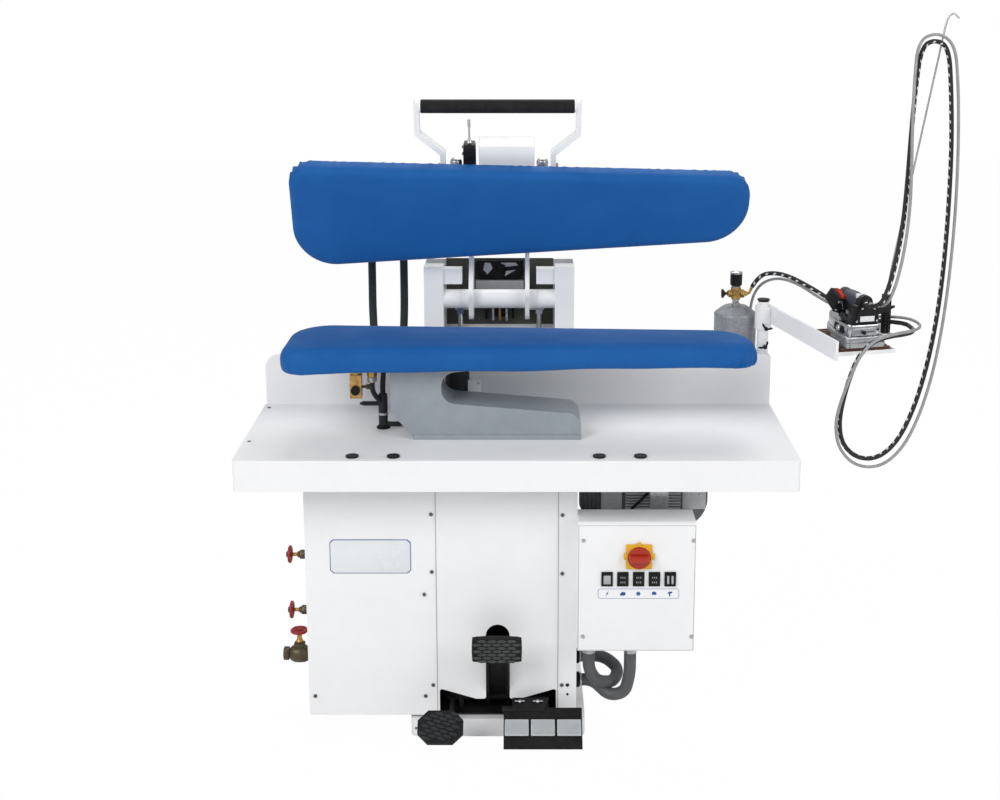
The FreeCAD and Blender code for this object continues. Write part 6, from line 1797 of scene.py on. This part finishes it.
@dataclass
class Valves(Assembly):
    """Two small valves and the globe valve on the casing's left side, in aged bronze."""

    casing: float = -494
    y: float = -100
    small: Sequence[tuple[float, Body]] = ((426, Body.VALVE_UPPER), (266, Body.VALVE_LOWER))
    stem_x: float = -542
    hub_x: float = -570
    globe_x: float = -546
    globe_end: float = -574
    globe_z: float = 138
    gland_z: float = 170.5

    def build(self) -> None:
        """Make every piece."""
        for i, (height, wheel) in enumerate(self.small):
            parts = [("flange", [(16, 0), (16, 3), (13, 5)], 0, 36),
                     ("neck", [(9, 0), (9.6, 1), (9.6, 22), (9, 23)], 4, 32),
                     ("nut", [(10.5, 0), (12.6, 1.5), (12.6, 16), (10.5, 18), (7, 18)], 26, 6),
                     ("gland", [(8.6, 0), (8.6, 4), (7.2, 6), (5.4, 6.4)], 43.5, 32)]
            pieces = [self.bench.turned(f"valve_{name}_{i}", steps, (self.casing - along, self.y, height), Axis.X, 0.5,
                                        sides, None, True) for name, steps, along, sides in parts]
            self.bench.dress(self.bench.join(f"small_valve_{i}", pieces), BRONZE, replaces=["valve_bodies"])
            stem = self.bench.turned(f"valve_stem_{i}", [(4.7, 0), (5.2, 1), (5.2, 13), (4.7, 15)],
                                     (self.stem_x, self.y, height), Axis.X, 0.3, 28, None, True)
            self.bench.dress(stem, BRASS, wheel)
            cap = self.bench.turned(f"valve_hub_{i}", [(8.6, 0), (8.6, 2), (6.5, 4), (3.4, 4.4), (3, 3.4)],
                                    (self.hub_x, self.y, height), Axis.X, 0.3, 28, None, True)
            self.bench.dress(cap, BLACK_COAT, wheel, "red_paint")
        body = [(12, 0), (12, 20), (15, 23), (20, 29), (24, 39), (25, 52), (24, 65), (20, 74), (14, 80), (12, 84)]
        parts = [self.bench.turned("globe_body", body, (self.casing, self.y, self.globe_z), Axis.X, 0.4, 48, None,
                                   True),
                 self.bench.turned("globe_hex", [(14, 0), (18.5, 1), (18.5, 15), (17, 16), (8.9, 16), (8.5, 4)],
                                   (self.globe_end, self.y, self.globe_z), Axis.X, 0.5, 6, None, True),
                 self.bench.turned("globe_bonnet", [(15, 12), (17, 22), (17, 31), (14.5, 33), (9, 34)],
                                   (self.globe_x, self.y, self.globe_z), Axis.Z, 0.6, 6)]
        self.bench.dress(self.bench.join("globe_valve", parts), BRONZE, replaces=["valve_bodies"])
        gland = self.bench.turned("globe_gland", [(9.5, 0), (9.5, 7), (7.2, 10), (6.4, 24), (5.4, 26)],
                                  (self.globe_x, self.y, self.gland_z), Axis.Z, 0.5, 24)
        self.bench.dress(gland, BRASS)


@dataclass
class BuckPlumbing(Assembly):
    """Trim of the fittings under the lower board, and the bracket plate in the pedestal's throat."""

    block: tuple[float, float] = (-368, -157)
    union_x: float = -326
    pipe: tuple[float, float] = (-302, -128)
    table: float = 792

    def build(self) -> None:
        """Make every piece."""
        x, y = self.block
        px, py = self.pipe
        rows = [("tap_cap", [(11.4, 0), (11.8, 1), (11.8, 9), (10.4, 10.4), (7.5, 10.4), (7, 9.4)], (x, -171.5, 906),
                 Axis.Y, True, BLACK_PLASTIC, 36),
                ("block_collar", [(15.4, 0), (16.6, 1), (16.6, 7), (13, 9)], (x, y, 946), Axis.Z, False, BRASS, 6),
                ("tap_spindle", [(4, 0), (4, 12), (7, 13), (7, 26), (5, 28)], (x + 14, y, 912), Axis.X, False, BRONZE,
                 6),
                ("union_top", [(13.6, 0), (15, 1), (15, 15), (13, 17)], (self.union_x, y, 968), Axis.Z, False, BRONZE,
                 6),
                ("union_ring", [(13.6, 0), (14.4, 0.6), (14.4, 5), (13.4, 6)], (self.union_x, y, 958), Axis.Z, False,
                 ZINC, 36),
                ("union_nut", [(11.6, 0), (13.4, 1), (13.4, 13), (11.6, 15)], (self.union_x, y, 926), Axis.Z, False,
                 ZINC, 6),
                ("pipe_band", [(12.2, 0), (13.4, 0.5), (13.4, 6), (12.2, 6.5)], (px, py, 828), Axis.Z, False, ZINC, 40),
                ("pipe_grommet", [(18, -0.5), (18, 3), (15, 6), (12.4, 6.5)], (px, py, self.table), Axis.Z, False,
                 BLACK_RUBBER, 40)]
        for name, steps, at, axis, against, finish, sides in rows:
            self.bench.dress(self.bench.turned(name, steps, at, axis, 0.4, sides, None, against), finish)
        plate = self.bench.block("throat_plate", (-80, -100.6, 828), (-46, -97.6, 914), 1.0)
        self.bench.dress(plate, BARE_PLATE, slot="zinc_steel")
        spots = [((-52, -100.6, 906), Axis.Y, True), ((-71, -100.6, 858), Axis.Y, True)]
        self.hardware.place(self.hardware.screw(4.4), spots, "throat_screw", ZINC)


@dataclass
class CabinetTrim(Assembly):
    """What is fixed to the cabinet: black sheets of painted shade inside it, screws, folded seams, a bare plate and
    plugs in unused holes.
    """

    front: float = -291
    screws: Outline = ((-169, 612), (-169, 456), (-169, 141), (167, 610), (167, 451), (167, 141), (-189, 394),
                       (-189, 110), (-478, 700), (-478, 110))
    table: float = 792
    table_screws: Outline = ((-634, 53), (-634, -247))
    holes: Sequence[tuple[float, float, float]] = ((182, 141, 3.6), (182, 115, 2.4))
    seams: Sequence[float] = (-158, 156.5)

    def build(self) -> None:
        """Make every piece."""
        # Black back sheet and floor tray inside the cabinet: painted shade behind the pedals, where the inside is only
        # in shadow.
        self.bench.dress(self.bench.block("cabinet_shade_liner", (-173, -152, 57), (204, -149, 330), 0.8), BLACK_COAT)
        self.bench.dress(self.bench.block("cabinet_shade_tray", (-173, -284, 56.2), (204, -150, 57.8), 0.5), BLACK_COAT)
        spots = [((x, self.front, z), Axis.Y, True) for x, z in self.screws]
        self.hardware.place(self.hardware.screw(5), spots, "cabinet_screw", SCREW_STEEL)
        spots = [((x, y, self.table), Axis.Z, False) for x, y in self.table_screws]
        self.hardware.place(self.hardware.screw(4.6), spots, "table_screw", SCREW_STEEL)
        foot = self.bench.block("pedestal_foot", (-215, -232.4, self.table), (214, -227, self.table + 12), 0.9)
        self.bench.dress(foot, PEDESTAL_PAINT)
        for i, (x, z, radius) in enumerate(self.holes):
            plug = self.bench.turned(f"hole_plug_{i}", [(radius * 1.3, -0.4), (radius * 1.3, 0.5), (radius, 0.5),
                                                        (radius * 0.9, -0.2)], (x, self.front, z), Axis.Y, 0, 24, None,
                                     True)
            self.bench.dress(plug, BLACK_RUBBER)
        for i, x in enumerate(self.seams):
            seam = self.bench.block(f"folded_seam_{i}", (x - 0.7, self.front - 0.5, 62),
                                    (x + 0.7, self.front + 0.5, 700), 0.3)
            self.bench.dress(seam, SEAM_SHADE)
        low, high, cut = (-430, 452), (-222, 544), 8
        corners = [(low[0] + cut, low[1]), (high[0] - cut, low[1]), (high[0], low[1] + cut), (high[0], high[1] - cut),
                   (high[0] - cut, high[1]), (low[0] + cut, high[1]), (low[0], high[1] - cut), (low[0], low[1] + cut)]
        upright = shift(0, -289.6, 0) @ UPRIGHT
        self.bench.dress(self.bench.plate("bare_plate", corners, 1.6, upright, 0.5), PRINT_BLUE)
        inner = [(x + (1.8 if x < -326 else -1.8), z + (1.8 if z < 498 else -1.8)) for x, z in corners]
        raised = upright @ shift(0, 0, 1.2)
        self.bench.dress(self.bench.plate("bare_face", inner, 0.8, raised, 0.2), BARE_PLATE, slot="white_paint")


@dataclass
class ConduitGear(Assembly):
    """Lock rings of the conduits at the side panel and zinc flanges over the glands."""

    ends: Sequence[Point] = ((216, -190, 175), (216, -239, 131))
    glands: Sequence[float] = (237, 345)
    gland_y: float = -285

    def build(self) -> None:
        """Make every piece."""
        for i, (at, x) in enumerate(zip(self.ends, self.glands)):
            ring = self.bench.turned(f"conduit_ring_{i}", [(16.2, 0), (17.4, 0.6), (17.4, 4.6), (16.2, 5.2)], at,
                                     Axis.X, 0.3, 48)
            self.bench.dress(ring, ZINC)
            sleeve = self.bench.turned(f"conduit_sleeve_{i}", [(19, 0), (20, 1), (20, 9), (17.5, 10)],
                                       (205.5, *at[1:]), Axis.X, 0.4, 40)
            self.bench.dress(sleeve, BLACK_RUBBER)
            flange = self.bench.turned(f"gland_flange_{i}", [(20.4, 0), (25, 0.6), (25, 3.6), (23, 5), (20.6, 6)],
                                       (x, self.gland_y, 263), Axis.Z, 0.4, 48, None, True)
            self.bench.dress(flange, ZINC)
            nut = self.bench.turned(f"gland_nut_{i}", [(20.3, 0), (22.4, 1), (22.4, 9), (20.3, 10)],
                                    (x, self.gland_y, 256), Axis.Z, 0.5, 6, None, True)
            self.bench.dress(nut, ZINC)


@dataclass
class HeadHoses(Assembly):
    """The head's two steam hoses, which run between the cabinet's back and the head."""

    roots: Outline = ((-345, -6), (-278, 5))
    root_y: float = -60
    crown: float = 1124.6
    back: float = 84
    low: float = 668
    diameter: float = 22
    bend: tuple[Point, Point] = ((0, 178, 960), (0, 128, 1278))

    def build(self) -> None:
        """Make both hoses with their end fittings."""
        y, z = PIVOT.y / MM, self.low
        for i, (x, lean) in enumerate(self.roots):
            head = [OPEN_HEAD @ mm(x, self.root_y, self.crown), OPEN_HEAD @ mm(x, self.root_y, self.crown + 36)]
            rest = [(x + lean, y + 52, z + 594), (x + lean * 2, y + 70, z + 532), (x + lean * 2, y + 72, z + 452),
                    (x + lean * 2, y + 66, z + 362), (x + lean, y + 54, z + 272), (x + lean / 2, y + 44, z + 182),
                    (x, y + 38, z + 102), (x, y + 34, z + 38), (x, self.back + 44, z), (x, self.back, z)]
            line = smooth_line(head + [mm(*point) for point in rest])[::-1]
            Cord(f"head_hose_{i}", line, self.diameter, DARK_HOSE, (Body.FRAME, Body.HEAD), "head_hoses", self.bend,
                 "medium", 20).build(self.bench.shop)
            nut = self.bench.turned(f"head_hose_nut_{i}", [(11, 0), (15, 1), (15, 13), (11.4, 16)],
                                    (x, self.root_y, self.crown), Axis.Z, 0.5, 6, OPEN_HEAD)
            self.bench.dress(nut, BRASS, Body.HEAD)


@dataclass
class ControlBox(Assembly):
    """The switch box's folded shell: a flat hood that falls to the back, and pockets for the switches."""

    left: float = 205
    width: float = 298
    profile: Outline = ((-345, 263), (-185, 263), (-185, 582), (-252, 611), (-338, 611), (-345, 604))
    pocket: tuple[float, float, float] = (13, 40, 17.5)

    def build(self) -> None:
        """Make the shell."""
        panel = ControlPanel(self.bench, self.hardware)
        across = Matrix.Translation((self.left * MM, 0, 0)) @ SIDE_ON
        shell = self.bench.plate("control_shell", self.profile, self.width, across, 2.2)
        half, deep, rise = self.pocket
        pockets = []
        for i in range(5):
            x = panel.rocker_x + i * panel.rocker_pitch
            pockets.append(self.bench.block(f"pocket_{i}", (x - half, panel.face - 4, panel.rocker_z - rise),
                                            (x + half, panel.face + deep, panel.rocker_z + rise), 0.5))
        cutter = self.bench.join("switch_pockets", pockets)
        self.bench.modify(shell, "BOOLEAN", object=cutter, operation="DIFFERENCE")
        bpy.data.objects.remove(cutter)
        bpy.ops.object.shade_smooth_by_angle(angle=math.radians(20))
        self.bench.dress(shell, WHITE_COAT, replaces=["control_box"])
        right, face = self.left + self.width, panel.face
        seams = [((right - 2.6, face - 0.4, 266), (right - 1.4, face + 0.4, 603)),
                 ((self.left + 1.4, face - 0.4, 266), (self.left + 2.6, face + 0.4, 603)),
                 ((self.left + 2, face - 0.4, 265), (right - 2, face + 0.4, 266.2)),
                 ((self.left + 2, face - 0.4, 602), (right - 2, face + 0.4, 603))]
        lines = [self.bench.block(f"cover_seam_{i}", low, high, 0.2) for i, (low, high) in enumerate(seams)]
        self.bench.dress(self.bench.join("cover_seam", lines), SEAM_SHADE)


@dataclass
class Blower(Assembly):
    """The vacuum blower's front, seen under the table: ribs, a plate, fins, a foil patch and a lead."""

    front: float = -180
    low: float = 586
    high: float = 700
    fins: tuple[float, float] = (334, 479)

    def build(self) -> None:
        """Make every piece."""
        y = self.front
        dark = [self.bench.block("rib_back", (220, y - 3, self.low), (267, y + 1, self.high), 1)]
        dark += [self.bench.block(f"rib_{i}", (226 + 11 * i, y - 8, self.low), (230 + 11 * i, y, self.high), 1)
                 for i in range(4)]
        dark.append(self.bench.block("fin_back", (self.fins[0] - 6, y - 2, self.low),
                                     (self.fins[1] + 2, y + 1, self.high), 1))
        self.bench.dress(self.bench.join("blower_dark_front", dark), BLOWER_GREY)
        fins = [self.bench.block(f"fin_{i}", (self.fins[0], y - 9, self.low + 2 + 8 * i),
                                 (self.fins[1], y, self.low + 5 + 8 * i), 0.8) for i in range(14)]
        self.bench.dress(self.bench.join("blower_fins", fins), BLOWER_PLATE)
        plates = [self.bench.block("blower_plate", (270, y - 5, self.low), (325, y + 1, self.high), 1.6),
                  self.bench.block("blower_end", (483, y - 6, self.low), (545, y + 1, self.high), 3)]
        self.bench.dress(self.bench.join("blower_plates", plates), BLOWER_PLATE)
        spots = [((x, y - 5, z), Axis.Y, True) for x, z in ((279, 628), (316, 628), (297, 602))]
        spots += [((x, y - 6, 626), Axis.Y, True) for x in (496, 530)]
        self.hardware.place(self.hardware.screw(3.6), spots, "blower_screw", ZINC)
        foil = self.bench.block("foil_patch", (398, y - 11, 592), (446, y - 8, 640), 1)
        self.bench.dress(foil, ZINC, slot="silver_jacket")
        run = smooth_line([mm(420, y - 8, 672), mm(402, y - 12, 648), mm(384, y - 14, 624), mm(362, y - 14, 602),
                           mm(346, y - 8, 584)])
        self.bench.dress(tube_mesh("blower_lead", run, lambda _: 3.6 * MM, 12), BLACK_RUBBER)


def main() -> None:
    """Build the studio, the finishes and every piece in order."""
    logging.basicConfig(level=logging.INFO, format="%(message)s")
    bpy.ops.object.select_all(action="DESELECT")
    shop = PaintShop(Effects())
    bench = Bench(shop)
    Studio().build()
    finish_nodes(shop)
    make_hose(shop)
    Leads().build(shop)
    make_cloth(shop)
    Boards().build(bench)
    hardware = Hardware(bench)
    for kind in (HeadGear, HingeGear, ControlPanel, Pedals, Separator, StandGear, Iron, Valves, BuckPlumbing,
                 CabinetTrim, ConduitGear, HeadHoses, ControlBox, Blower):
        kind(bench, hardware).build()


if __name__ == "__main__":
    main()
